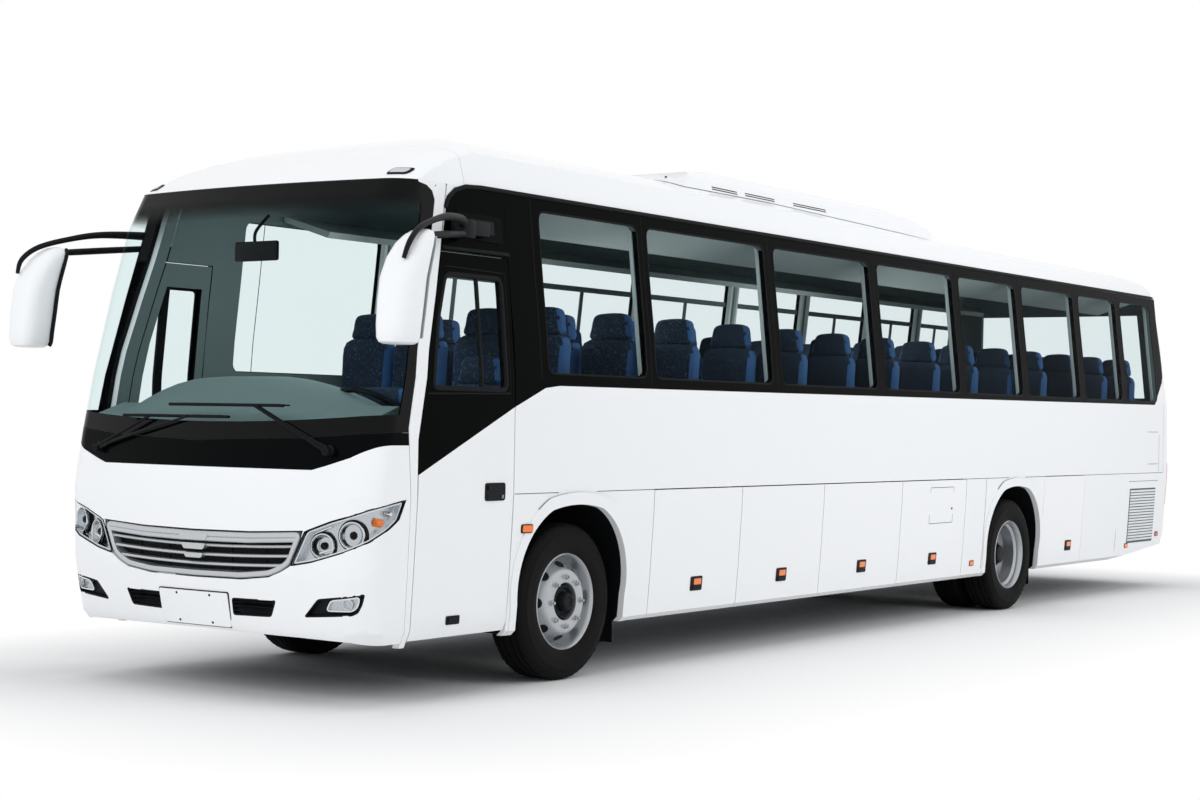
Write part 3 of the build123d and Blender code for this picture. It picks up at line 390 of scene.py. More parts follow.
# %% Other paints, metals and plastics
WHITE = painted("white_paint", COACH_WHITE)
BLACK_GLOSS = painted("black_gloss", "#060708", 0.2, 0.0, shine=0.03)
SILVER = metal("silver_paint", "#C2C5C8", 0.28, 0.75)
CHROME = metal("chrome", "#E3E6E8", 0.12)
REFLECTOR = metal("reflector", "#C9CDD0", 0.22)
WHEEL_PAINT = metal("wheel_silver", "#B3B6B9", 0.24, 0.65)
STEEL = metal("bare_steel", "#85898C", 0.3)
RUBBER = moulded("seal_rubber", "#0D0F11", 0.6)
TYRE = moulded("tyre_rubber", "#0E0E0F", 0.72, 500.0, 0.2)
PLASTIC = moulded("dark_plastic", "#111315", 0.45)
SEAM = moulded("seam_shadow", "#3C3F42", 0.8)
TRIM = moulded("pale_trim", "#C6D0D0", 0.6)
# the liner's grey-green is darkened to suit the dim, tinted saloon: its own colour with painted shade in it
SHADE_DARKENED_LINER = moulded("ceiling_liner", "#5F6D6D", 0.8)
RACK = moulded("rack_panel", "#A0ABA9", 0.7)
DASH = moulded("dashboard_skin", "#728383", 0.7, 1300.0, 0.25)
FLOOR = moulded("floor_covering", "#4A4E52", 0.7, 300.0)
CHASSIS = moulded("chassis_paint", "#1C1D1F", 0.6, 120.0)
CASTING = moulded("engine_casting", "#4A4C4E", 0.65, 160.0, 0.3)
print(len(bpy.data.materials), "paints and plastics")

# %% [markdown]
# ## Glass and lamps
#
# Window glass is thin, so refraction would only cost time. A transparent shader carries the grey-green tint
# and a glossy one is mixed over it by a Fresnel factor, which is how a pane looks clear when faced and
# mirrored when seen along its surface. The windscreen's printed border and sun band are part of the same
# material.

# %% Glass
def glass(name, tint, gloss=0.3, cover=None):
    """A tinted pane; cover is an optional function that returns a mask of printed black."""
    finish = Finish(name, linear("#08090A" if cover else "#20282A"), 0.05,
                    Specular_IOR_Level=0.1 if cover else 0.5)
    behind = finish.node("ShaderNodeNewGeometry", output=6)
    amount = finish.node("ShaderNodeFresnel", IOR=1.45) * gloss * (1 - behind) + finish.noise(1.2, 2) * 0.008
    if cover:
        amount = amount.either(cover(finish))
    blend(finish.tree, amount, emitter(finish.tree, "ShaderNodeBsdfTransparent", tint), finish.shader,
          finish.output)
    return finish


def windscreen_print(finish):
    """Black border round the windscreen and the sun band that fades out below it."""
    x, y, z = finish.place()
    side = x.absolute()
    foot = z < side * side * 0.035 + 1.615
    band = ((z - 2.83) * 8.0).math("MAXIMUM", 0.0, clamp=True)
    # the post's edge leans back with height; black begins a hand's width ahead of it
    post = (z - 1.6) * 0.235 - 1.682
    near_post = y - FRONT_AXLE_Y - post > -0.10
    top_post = ((z - 2.95) * 4.0).math("MAXIMUM", 0.0, clamp=True)
    return foot.either(band).either(near_post.both(side > 1.0)).either(top_post)


WINDOW_TINT = (0.935, 0.962, 0.965)
SIDE_GLASS = glass("side_glass", WINDOW_TINT)
WINDSCREEN = glass("windscreen_glass", (0.94, 0.975, 0.975), 0.3, windscreen_print)
LENS = glass("clear_lens", (0.97, 0.975, 0.98), 0.5)
MIRROR_GLASS = metal("mirror_glass", "#B7BEC2", 0.05)
print("glass:", ", ".join(finish.material.name for finish in (SIDE_GLASS, WINDSCREEN, LENS)))

# %% Lamp lenses
def lens(name, code, painted_glow):
    """Coloured lens with a ribbed moulding and a faint painted glow, though no lamp behind it is lit."""
    color = linear(code)
    finish = Finish(name, color, 0.22, Coat_Weight=0.6, Coat_Roughness=0.05)
    ribs = (finish.place()[2] * 420).math("SINE")
    finish.set("Base Color", finish.mix(ribs * 0.5 + 0.5, shaded(color, 0.72), color))
    # the emission is painted light: a faint glow on unlit lamp lenses and on reflectors
    finish.set("Emission Color", color)
    finish.set("Emission Strength", painted_glow)
    finish.bump(ribs, 0.25, 0.001)
    return finish


AMBER = lens("amber_lens", "#E8710F", 0.25)
RED = lens("red_lens", "#B81414", 0.18)
print("lenses:", AMBER.material.name, RED.material.name)

# %% [markdown]
# ## Smooth copies of the pressed panels
#
# A CAD mesh is loose triangles, so it shades like a cut gem. A copy with its doubles merged can be shaded
# smooth, with real corners kept sharp by angle. Weighted normals then let the large faces rule the small
# ones, which is what makes a pressed panel look flat right up to its rounded edge. The copy replaces the
# node, in the same place.

# %% Dress a CAD node
def smoothed(work, sharp):
    """Shades a mesh smooth, apart from its borders and the edges sharper than so many degrees."""
    for edge in work.edges:
        edge.smooth = len(edge.link_faces) == 2 and edge.calc_face_angle(0) < math.radians(sharp)
    for face in work.faces:
        face.smooth = True


def settled(name, mesh, body):
    """A mesh as a finished piece, on its body."""
    piece = placed(name, mesh)
    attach(piece, body)
    print(name, len(mesh.polygons), "faces")
    return piece


def dress(node, *finishes, choose=None):
    """A smooth-shaded copy of a CAD node that stands for it; choose picks a finish for each face's middle."""
    work = bmesh.new()
    work.from_mesh(NODES[node].data)
    bmesh.ops.remove_doubles(work, verts=work.verts, dist=0.00002)
    smoothed(work, 28)
    for face in work.faces:
        face.material_index = choose(face.calc_center_median(), face.normal) if choose else 0
    mesh = bpy.data.meshes.new(node + "_skin")
    work.to_mesh(mesh)
    work.free()
    for finish in finishes:
        mesh.materials.append(finish.material)
    copy = settled(node + "_skin", mesh, BODY_OF[node])
    weighted = copy.modifiers.new("weighted", "WEIGHTED_NORMAL")
    weighted.keep_sharp = True
    weighted.weight = 80
    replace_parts(copy, node)


def paint(finish, *nodes):
    """Gives CAD nodes that keep their own mesh a finish."""
    for node in nodes:
        NODES[node].data.materials.clear()
        NODES[node].data.materials.append(finish.material)


print("dressing tools ready")

# %% Dressed panels, glass and running gear
PANELS = ["front_posts", "side_panels_left", "side_panels_right", "driver_door", "entrance_door",
          "window_frame_left", "window_frame_right", "tail_panel"]


def lined(centre, normal):
    """1 where a face looks into the coach, which is trimmed inside."""
    # outward is measured from the coach's middle line, which stops 5.6 m ahead of and behind the centre
    along = max(-5.6, min(5.6, centre.y))
    outward = Vector((centre.x / 1.2, (centre.y - along) * 1.5, (centre.z - 2.0) * 0.6))
    return 1 if normal.dot(outward) < -0.25 and centre.z > 1.1 else 0


DOORS = [f"luggage_door_{i}_{hand}" for i in range(1, 5) for hand in ("left", "right")]
PANES = ["side_glass_left", "side_glass_right", "driver_door_glass", "entrance_door_glass", "tail_glass"]
# faces that look into the coach take the liner, darkened as painted shade
for node in PANELS:
    dress(node, BODY_PAINT, SHADE_DARKENED_LINER, choose=lined)
for node in ("front_panel", "front_dome", "roof_shell"):
    dress(node, WHITE, SHADE_DARKENED_LINER, choose=lined)
for node in ["front_bumper", "air_conditioner", "engine_lid", "service_door"] + DOORS:
    dress(node, WHITE)
dress("windscreen", WINDSCREEN)
dress("windscreen_mask", BLACK_GLOSS, SHADE_DARKENED_LINER, choose=lined)
for node in PANES:
    dress(node, SIDE_GLASS)
dress("tail_lamps", RED)
dress("luggage_racks", RACK)
dress("dashboard", DASH)
dress("steering_wheel", PLASTIC)
dress("wipers", RUBBER)
dress("wheel_housings", PLASTIC)
paint(FLOOR, "saloon_floor", "luggage_hold")
paint(CHASSIS, "chassis_frame", "front_axle", "rear_axle", "steering_knuckle_left", "steering_knuckle_right",
      "seat_frames")
paint(CASTING, "engine")

# %% [markdown]
# ## Finding the skin
#
# Lamps, seals and seams lie on curved panels, so their points are dropped onto the CAD skin by rays. A ray
# that falls into the gap between two panels would land deep inside, so each drop also tries four close
# neighbours and keeps the outermost hit.

# %% Ray drops
def skin_tree(names):
    """One search tree over several CAD nodes."""
    points, triangles = [], []
    for name in names:
        mesh = NODES[name].data
        mesh.calc_loop_triangles()
        base = len(points)
        points += [vertex.co.copy() for vertex in mesh.vertices]
        triangles += [tuple(base + i for i in t.vertices) for t in mesh.loop_triangles]
    return BVHTree.FromPolygons(points, triangles)


SKIN = skin_tree(PANELS + DOORS + PANES + [
    "service_door", "front_panel", "front_bumper", "front_dome", "roof_shell", "air_conditioner",
    "windscreen", "windscreen_mask", "front_lamps", "grille", "engine_lid", "tail_lamps"])
X_AXIS, Y_AXIS, Z_AXIS = Vector((1, 0, 0)), Vector((0, 1, 0)), Vector((0, 0, 1))


class Drop:
    """Drops flat (u, v) points onto the skin along one direction."""

    def __init__(self, origin, across, upward, inward):
        self.origin, self.across, self.upward, self.inward = origin, across, upward, inward

    def __call__(self, u, v):
        """The point under (u, v) and the skin's normal there."""
        best = None
        for du, dv in ((0, 0), (0.009, 0), (-0.009, 0), (0, 0.009), (0, -0.009)):
            start = self.origin + self.across * (u + du) + self.upward * (v + dv)
            point, normal, _, distance = SKIN.ray_cast(start, self.inward)
            if point and (best is None or distance < best[0] - 0.02):
                flip = -1 if normal.dot(self.inward) > 0 else 1
                best = (distance, point - self.across * du - self.upward * dv, normal * flip)
        if best is None:
            raise ValueError(f"nothing under {u:.3f}, {v:.3f}")
        return best[1], best[2]


def flank(hand):
    """(station, height) onto a side."""
    return Drop(Vector((hand * 3, FRONT_AXLE_Y, 0)), Y_AXIS, Z_AXIS, Vector((-hand, 0, 0)))


def corner(hand):
    """(distance along the 45 degree plane, height) onto a front corner."""
    half = math.sqrt(0.5)
    outward = Vector((hand * half, -half, 0))
    along = Vector((hand * half, half, 0))
    return Drop(Vector((0, FRONT_AXLE_Y, 0)) + outward * 4, along, Z_AXIS, -outward)


NOSE = Drop(Vector((0, -9, 0)), X_AXIS, Z_AXIS, Y_AXIS)
TAIL = Drop(Vector((0, 9, 0)), X_AXIS, Z_AXIS, -Y_AXIS)
TOP = Drop(Vector((0, FRONT_AXLE_Y, 6)), X_AXIS, Y_AXIS, -Z_AXIS)
print("nose at", [round(v, 3) for v in NOSE(0, 1.2)[0]])

# %% [markdown]
# ## A small workshop for trim
#
# Nearly all trim is one of five forms: a bar swept along the skin, a pad cut to an outline and laid on it,
# a turned part, a bent tube or a rounded block. One class collects such forms into a single mesh with its
# finishes. Closed shapes get their normals recalculated, so mirrored forms never end up inside out.

# %% Piece
MERGE = 0.00003


class Piece:
    """Forms gathered into one mesh, on one body."""

    def __init__(self, name, body, slot, *finishes):
        self.name, self.body, self.slot, self.finishes = name, body, slot, finishes
        self.points, self.faces, self.kinds = [], [], []

    def add(self, points, faces, kind=0):
        """Points and faces, with kind as the number of their finish."""
        base = len(self.points)
        self.points += [Vector(p) for p in points]
        self.faces += [tuple(base + i for i in face) for face in faces]
        self.kinds += [kind] * len(faces)

    def rings(self, rings, kind=0, closed=False, caps=True):
        """Skin over equal rings of points."""
        size = len(rings[0])
        faces = []
        for i in range(len(rings) if closed else len(rings) - 1):
            for j in range(size):
                a, b = i * size + j, i * size + (j + 1) % size
                c = ((i + 1) % len(rings)) * size
                faces.append((a, b, c + (j + 1) % size, c + j))
        if caps and not closed:
            faces += [tuple(reversed(range(size))), tuple((len(rings) - 1) * size + j for j in range(size))]
        self.add([p for ring in rings for p in ring], faces, kind)

    def strip(self, path, profile, kind=0, closed=False):
        """A bar along (point, normal) pairs; profile lists (sideways, outwards) offsets in order."""
        rings = []
        for i, (point, normal) in enumerate(path):
            before = path[i - 1][0] if closed or i else point
            after = path[(i + 1) % len(path)][0] if closed or i < len(path) - 1 else point
            side = normal.cross((after - before).normalized()).normalized()
            rings.append([point + side * u + normal * v for u, v in profile])
        self.rings(rings, kind, closed)

    def bar(self, line, drop, section, kind=0, step=0.06):
        """A bar along an open line of (u, v) points."""
        self.strip(laid(line, drop, step), section, kind)

    def edging(self, outline, drop, section, kind=0, step=0.06):
        """A bar round an outline of (u, v) points."""
        self.strip(laid(outline, drop, step, True), section, kind, closed=True)

    def pad(self, outline, drop, low, high, kind=0, step=0.08):
        """A plate cut to an outline of (u, v) points, lying from low to high above the skin."""
        flat = bmesh.new()
        flat.faces.new([flat.verts.new((u, v, 0)) for u, v in outline])
        for axis in (0, 1):
            values = [point[axis] for point in outline]
            for i in range(1, int((max(values) - min(values)) / step) + 1):
                place, facing = Vector(), Vector()
                place[axis], facing[axis] = min(values) + i * step, 1
                geometry = flat.verts[:] + flat.edges[:] + flat.faces[:]
                bmesh.ops.bisect_plane(flat, geom=geometry, plane_co=place, plane_no=facing)
        flat.verts.ensure_lookup_table()
        flat.verts.index_update()
        hits = [drop(vertex.co.x, vertex.co.y) for vertex in flat.verts]
        count = len(hits)
        points = [p + n * high for p, n in hits] + [p + n * low for p, n in hits]
        faces = []
        for face in flat.faces:
            order = [vertex.index for vertex in face.verts]
            faces += [tuple(order), tuple(count + i for i in reversed(order))]
        for edge in flat.edges:
            if len(edge.link_faces) == 1:
                a, b = (vertex.index for vertex in edge.verts)
                faces.append((a, b, count + b, count + a))
        flat.free()
        self.add(points, faces, kind)

    def turned(self, profile, centre, axis, kind=0, segments=48, closed=False):
        """A turned part: (radius, distance along the axis) points about a centre."""
        axis = Vector(axis).normalized()
        first = axis.orthogonal().normalized()
        second = axis.cross(first)
        rings = []
        for i in range(segments):
            turn = 2 * math.pi * i / segments
            out = first * math.cos(turn) + second * math.sin(turn)
            rings.append([Vector(centre) + out * r + axis * d for r, d in profile])
        size = len(profile)
        faces = []
        for i in range(segments):
            after = (i + 1) % segments
            for j in range(size if closed else size - 1):
                k = (j + 1) % size
                faces.append((i * size + j, i * size + k, after * size + k, after * size + j))
        self.add([p for ring in rings for p in ring], faces, kind)

    def tube(self, points, radii, kind=0, sides=12, steps=6):
        """A bent tube through points; radii is one radius or one for each point."""
        points = [Vector(p) for p in points]
        radii = radii if isinstance(radii, (list, tuple)) else [radii] * len(points)
        line, sizes = [], []
        for i in range(len(points) - 1):
            a, b, c, d = points[max(i - 1, 0)], points[i], points[i + 1], points[min(i + 2, len(points) - 1)]
            for s in range(steps):
                t = s / steps
                line.append(0.5 * (2 * b + (c - a) * t + (2 * a - 5 * b + 4 * c - d) * t * t
                                   + (3 * b - a - 3 * c + d) * t ** 3))
                sizes.append(radii[i] * (1 - t) + radii[i + 1] * t)
        line.append(points[-1])
        sizes.append(radii[-1])
        rings = []
        side = None
        for i, point in enumerate(line):
            along = (line[min(i + 1, len(line) - 1)] - line[max(i - 1, 0)]).normalized()
            side = (along.orthogonal() if side is None else side - along * side.dot(along)).normalized()
            other = along.cross(side)
            turns = [2 * math.pi * j / sides for j in range(sides)]
            rings.append([point + (side * math.cos(t) + other * math.sin(t)) * sizes[i] for t in turns])
        self.rings(rings, kind)

    def block(self, low, high, kind, bevel):
        """A block with rounded edges between two opposite corners."""
        work = bmesh.new()
        bmesh.ops.create_cube(work, size=1)
        size = Vector(high) - Vector(low)
        middle = (Vector(high) + Vector(low)) / 2
        for vertex in work.verts:
            vertex.co = Vector(vertex.co[i] * size[i] for i in range(3))
        bmesh.ops.bevel(work, geom=work.edges[:], offset=min(bevel, min(size) * 0.45), segments=2,
                        affect="EDGES", profile=0.5)
        work.verts.ensure_lookup_table()
        work.verts.index_update()
        points = [vertex.co + middle for vertex in work.verts]
        self.add(points, [tuple(v.index for v in face.verts) for face in work.faces], kind)
        work.free()

    def mesh(self, sharp):
        """The forms as one mesh, with its doubles merged and its normals outward."""
        mesh = bpy.data.meshes.new(self.name)
        mesh.from_pydata(self.points, [], self.faces)
        for polygon, kind in zip(mesh.polygons, self.kinds):
            polygon.material_index = kind
        work = bmesh.new()
        work.from_mesh(mesh)
        bmesh.ops.remove_doubles(work, verts=work.verts, dist=MERGE)
        bmesh.ops.recalc_face_normals(work, faces=work.faces)
        smoothed(work, sharp)
        work.to_mesh(mesh)
        work.free()
        return mesh

    def done(self, sharp=35):
        """Adds the finished piece to the scene."""
        mesh = self.mesh(sharp)
        for finish in self.finishes:
            mesh.materials.append(finish.material)
        return settled(self.name, mesh, self.body)

    def master(self):
        """The forms as a plain object for copying, which leaves the scene after use."""
        return placed(self.name, self.mesh(34.4))


print("Piece knows", [word for word in vars(Piece) if not word.startswith("_")])

# %% Outlines, lines on the skin and bar sections
def rounded(points, radius, steps=4):
    """An outline with each corner turned into a short curve."""
    result = []
    for i, point in enumerate(points):
        middle = Vector(point)
        before = Vector(points[i - 1]) - middle
        after = Vector(points[(i + 1) % len(points)]) - middle
        a = middle + before.normalized() * min(radius, before.length / 2.1)
        b = middle + after.normalized() * min(radius, after.length / 2.1)
        for s in range(steps + 1):
            t = s / steps
            result.append(tuple(a * (1 - t) ** 2 + middle * 2 * t * (1 - t) + b * t * t))
    return result


def dense(points, step=0.06, closed=False):
    """The same line with points no further apart than step."""
    result = []
    count = len(points)
    for i in range(count if closed else count - 1):
        a, b = Vector(points[i]), Vector(points[(i + 1) % count])
        pieces = max(1, int((b - a).length / step))
        result += [tuple(a.lerp(b, k / pieces)) for k in range(pieces)]
    if not closed:
        result.append(tuple(points[-1]))
    return result


def laid(points, drop, step=0.06, closed=False):
    """(point, normal) pairs of a flat line dropped onto the skin."""
    return [drop(u, v) for u, v in dense(points, step, closed)]


def box_outline(u_low, u_high, v_low, v_high, radius):
    """An oblong outline with rounded corners."""
    return rounded([(u_low, v_low), (u_high, v_low), (u_high, v_high), (u_low, v_high)], radius)


def bead(half, low, high):
    """Section of a flat bar with eased shoulders."""
    ease = min(half, high - low) * 0.4
    left = [(-half, low), (-half, high - ease), (-half + ease, high)]
    return left + [(-u, v) for u, v in reversed(left)]


print("a bead 10 mm wide:", bead(0.005, 0, 0.003))

# %% [markdown]
# ## Seams, seals and drip rails
#
# Sheet panels meet in dark lines a few millimetres wide. The gaps between doors are already in the CAD, so
# only the joints inside one-piece panels are drawn, as thin bars that stand half a millimetre off the
# paint. Rubber seals and the rain gutter are the same idea with a taller section.

# %% Seams and gutters
LINE = [(-0.0022, -0.001), (-0.0022, 0.0006), (0.0022, 0.0006), (0.0022, -0.001)]
DOOR_REAR = {1: -0.675, -1: -0.905}
SKIRT_TOP = 1.2015

seams = Piece("panel_seams", "coach", "black_gloss", SEAM)
gutters = Piece("rain_gutters", "coach", "black_gloss", RUBBER)
for hand in (1, -1):
    side = flank(hand)
    stretches = [(DOOR_REAR[hand], -0.22), (0.20, 0.873), (5.812, 6.70)]
    stretches += [(7.06, 7.52), (8.526, 10.70)] if hand == 1 else [(7.06, 10.70)]
    for front, rear in stretches:
        seams.bar([(front, SKIRT_TOP), (rear, SKIRT_TOP)], side, LINE)
    for station, low, high in ((6.215, 0.345, 1.197), (9.44, 0.35, 0.64), (10.58, 1.22, 1.60)):
        seams.bar([(station, low), (station, high)], side, LINE)
    for front, rear, height in ((10.244, 10.544, 1.63), (10.258, 10.558, 1.295), (9.72, 10.573, 1.12)):
        seams.bar([(front, height), (rear, height)], side, LINE)
    rail = [(-1.262, 2.895), (-1.226, 2.961), (-1.156, 3.012), (-1.057, 3.040), (-0.9, 3.049), (10.74, 3.053)]
    gutters.bar(rail, side, bead(0.013, -0.002, 0.013), step=0.12)
    door_head = [(-1.315, 2.658), (-0.68 if hand == 1 else -0.92, 2.658)]
    gutters.bar(door_head, side, bead(0.011, -0.002, 0.014))
seams.done()
gutters.done()

# %% Window seals
# front and rear edge of each window, as distances behind the front axle
WINDOWS = {
    1: [(-0.340, 0.770), (0.880, 2.440), (2.580, 4.110), (4.250, 5.660),
        (5.790, 7.010), (7.150, 8.390), (8.530, 9.520), (9.650, 10.520)],
}
WINDOWS[-1] = [(-0.640, 0.770)] + WINDOWS[1][1:]
WINDOW_LOW, WINDOW_HIGH = 1.945, 2.960

seals = Piece("window_seals", "coach", "black_gloss", RUBBER)
for hand in (1, -1):
    side = flank(hand)
    for front, rear in WINDOWS[hand]:
        outline = box_outline(front, rear, WINDOW_LOW, WINDOW_HIGH, 0.07)
        seals.edging(outline, side, bead(0.006, -0.002, 0.0025), step=0.2)
    for before, after in zip(WINDOWS[hand], WINDOWS[hand][1:]):
        middle = (before[1] + after[0]) / 2
        seals.bar([(middle, 1.90), (middle, 3.03)], side, bead(0.003, -0.001, 0.001))
    seals.bar([(-0.415, 1.90), (-0.415, 3.03)], side, bead(0.003, -0.001, 0.001))
seals.done()

# %% [markdown]
# ## Front doors
#
# The driver's door has a sliding window in a rubber frame, a flush handle in a black dish and a small vent
# below. The passenger door across from it has two tall panes parted by a mullion. Both sets of trim ride on
# their doors.

# %% Door trim
door_window = [(-1.470, 1.830), (-1.398, 2.225), (-1.300, 2.505), (-0.770, 2.505), (-0.770, 1.830)]
entry_window = [(-1.500, 0.640), (-1.500, 1.560), (-1.405, 2.110), (-1.300, 2.480), (-0.990, 2.480),
                (-0.990, 0.640)]
# lines on the leaf beside its window rubber, each with its section: sash, sill and rear joint, or mullion
SASHES = {
    1: [([(-1.012, 1.835), (-1.012, 2.50)], bead(0.013, -0.014, 0.004)),
        ([(-1.52, 1.797), (-0.735, 1.812)], bead(0.005, -0.001, 0.004)),
        ([(-0.735, 1.812), (-0.735, 2.54), (-1.30, 2.55)], bead(0.003, -0.001, 0.002))],
    -1: [([(-1.30, 0.65), (-1.285, 2.47)], bead(0.032, -0.03, 0.003))],
}
# handle parts as shares of the dish's length from its ends, heights, thickness and finish
HANDLE = [(0.1, 0.25, 1.228, 1.258, 0.008, 0.013, 1), (0.12, 0.3, 1.176, 1.205, 0.008, 0.008, 1),
          (0.8, 0.1, 1.178, 1.20, 0.004, 0.009, 2)]
for hand, outline, name, dish in ((1, door_window, "driver", (-0.971, -0.775)),
                                  (-1, entry_window, "entrance", (-0.978, -0.930))):
    side = flank(hand)
    trim = Piece(f"{name}_door_trim", f"{name}_door_body", "white_paint", RUBBER, PLASTIC, STEEL)
    trim.edging(rounded(outline, 0.05), side, bead(0.016, -0.012, 0.005), step=0.1)
    for line, section in SASHES[hand]:
        trim.bar(line, side, section)
    trim.pad(box_outline(*dish, 1.165, 1.273, 0.02), side, -0.002, 0.005, 1, 0.05)
    width = dish[1] - dish[0]
    for after, before, low, high, radius, top, kind in HANDLE:
        part = box_outline(dish[0] + after * width, dish[1] - before * width, low, high, radius)
        trim.pad(part, side, 0.004, top, kind)
    if hand == 1:
        trim.pad(box_outline(-1.273, -1.148, 0.445, 0.497, 0.01), side, -0.002, 0.005, 1)
        trim.pad(box_outline(-1.255, -1.166, 0.455, 0.487, 0.006), side, 0.004, 0.009, 1)
    trim.done()

# %% [markdown]
# ## Mirror plate on the quarter panel
#
# Above each door a raised oblong panel stiffens the quarter where the mirror arm bolts on. It is a pad a
# few millimetres thick with a closed slot in it.

# %% Quarter panels
quarters = Piece("quarter_panels", "coach", "black_gloss", BLACK_GLOSS, PLASTIC)
for hand in (1, -1):
    side = flank(hand)
    rear = -0.70 if hand == 1 else -0.93
    panel = [(-1.19, 2.735), (rear - 0.02, 2.715), (rear - 0.03, 2.88), (-1.17, 2.885)]
    quarters.pad(rounded(panel, 0.03), side, -0.001, 0.006)
    quarters.pad(box_outline(-1.12, -1.06, 2.775, 2.845, 0.006), side, 0.005, 0.012, 1)
    quarters.pad(box_outline(-1.05, rear - 0.11, 2.765, 2.848, 0.012), side, 0.005, 0.009, 1)
quarters.done()

# %% [markdown]
# ## Markers, latches and flaps along the skirt
#
# Long vehicles carry amber side markers low on the skirt. The luggage doors have square latches in black
# dishes. Each of these rides on the panel that carries it, so that an open luggage door takes its latch
# along.

# %% Side markers
def plaque(piece, side, middle, half, radius, low, high, kind=0, step=0.04):
    """A small oblong pad about its middle; middle and half are (along, up) pairs."""
    (u, v), (wide, tall) = middle, half
    piece.pad(box_outline(u - wide, u + wide, v - tall, v + tall, radius), side, low, high, kind, step)


markers = Piece("side_markers", "coach", "lamp_lens", RUBBER, AMBER, RED)
for hand in (1, -1):
    side = flank(hand)
    markers.pad(box_outline(-0.597, -0.494, 0.960, 1.014, 0.012), side, -0.002, 0.006, 0, 0.04)
    markers.pad(box_outline(-0.589, -0.502, 0.966, 1.008, 0.010), side, 0.005, 0.014, 1, 0.03)
    for station, height, kind in ((6.01, 0.46, 1), (9.757, 0.462, 1), (10.62, 0.553, 2)):
        plaque(markers, side, (station, height), (0.045, 0.024), 0.008, -0.002, 0.003)
        plaque(markers, side, (station, height), (0.038, 0.018), 0.006, 0.002, 0.009, kind)
markers.done()

# %% Latches and flap
SIDE_NAME = {1: "left", -1: "right"}
HOLD_DOORS = {1: (0.877, 2.024), 2: (2.024, 3.244), 3: (3.244, 4.572), 4: (4.572, 5.805)}


def latch(piece, side, station, height):
    """A square latch in a black dish, with an amber reflector in its upper corner."""
    plaque(piece, side, (station, height), (0.075, 0.05), 0.014, -0.002, 0.004, 0, 0.05)
    plaque(piece, side, (station + 0.01, height + 0.013), (0.045, 0.021), 0.006, 0.003, 0.008, 1, 0.05)
    plaque(piece, side, (station - 0.005, height - 0.029), (0.045, 0.011), 0.004, 0.003, 0.010, 0, 0.05)


for hand in (1, -1):
    side = flank(hand)
    for index, (front, rear) in HOLD_DOORS.items():
        label = f"{index}_{SIDE_NAME[hand]}"
        fittings = Piece(f"latch_{label}", f"luggage_door_{label}_body", "white_paint", PLASTIC, AMBER, SEAM)
        latch(fittings, side, (front + rear) / 2 + 0.02, 0.538)
        if index == 4:
            flap = box_outline(5.10, 5.55, 0.835, 1.137, 0.012)
            fittings.edging(flap, side, LINE, 2, 0.2)
            plaque(fittings, side, (5.525, 0.954), (0.009, 0.009), 0.006, -0.001, 0.004, 0, 0.08)
        fittings.done()
service = Piece("service_latch", "service_door_body", "white_paint", PLASTIC, AMBER)
latch(service, flank(1), 8.188, 0.53)
service.done()

# %% [markdown]
# ## Copies by Geometry Nodes
#
# Louvre slats, wheel nuts and seats repeat one shape many times. Two small node trees make them: one puts
# copies on the points of a host mesh, the other round an axle. Their inputs have names, they end by
# realizing the copies and setting their material, and the result is frozen into a plain mesh before it
# rides on a body. The shape that is copied leaves the scene afterwards.

# %% Node trees for copies
def new_tree(name, **sockets):
    """A geometry tree with named inputs, and its first nodes: group input, copied shape and instances."""
    tree = bpy.data.node_groups.new(name, "GeometryNodeTree")
    sockets = {"Geometry": "Geometry", "Unit": "Object", **sockets, "Finish": "Material"}
    for label, kind in sockets.items():
        tree.interface.new_socket(label, in_out="INPUT", socket_type="NodeSocket" + kind)
    tree.interface.new_socket("Geometry", in_out="OUTPUT", socket_type="NodeSocketGeometry")
    source = tree.nodes.new("NodeGroupInput")
    unit = tree.nodes.new("GeometryNodeObjectInfo")
    place = tree.nodes.new("GeometryNodeInstanceOnPoints")
    tree.links.new(source.outputs["Unit"], unit.inputs[0])
    tree.links.new(unit.outputs["Geometry"], place.inputs["Instance"])
    return tree, source, place


def finish_tree(tree, source, instances):
    """Realizes the copies and sets their material."""
    real = tree.nodes.new("GeometryNodeRealizeInstances")
    coat = tree.nodes.new("GeometryNodeSetMaterial")
    tree.links.new(instances, real.inputs[0])
    tree.links.new(real.outputs[0], coat.inputs["Geometry"])
    tree.links.new(source.outputs["Finish"], coat.inputs["Material"])
    tree.links.new(coat.outputs[0], tree.nodes.new("NodeGroupOutput").inputs[0])
    return tree


def point_tree():
    """Copies on the host's points, scaled by Size."""
    tree, source, place = new_tree("copies_on_points", Size="Float")
    tree.links.new(source.outputs["Geometry"], place.inputs["Points"])
    tree.links.new(source.outputs["Size"], place.inputs["Scale"])
    return finish_tree(tree, source, place.outputs[0])


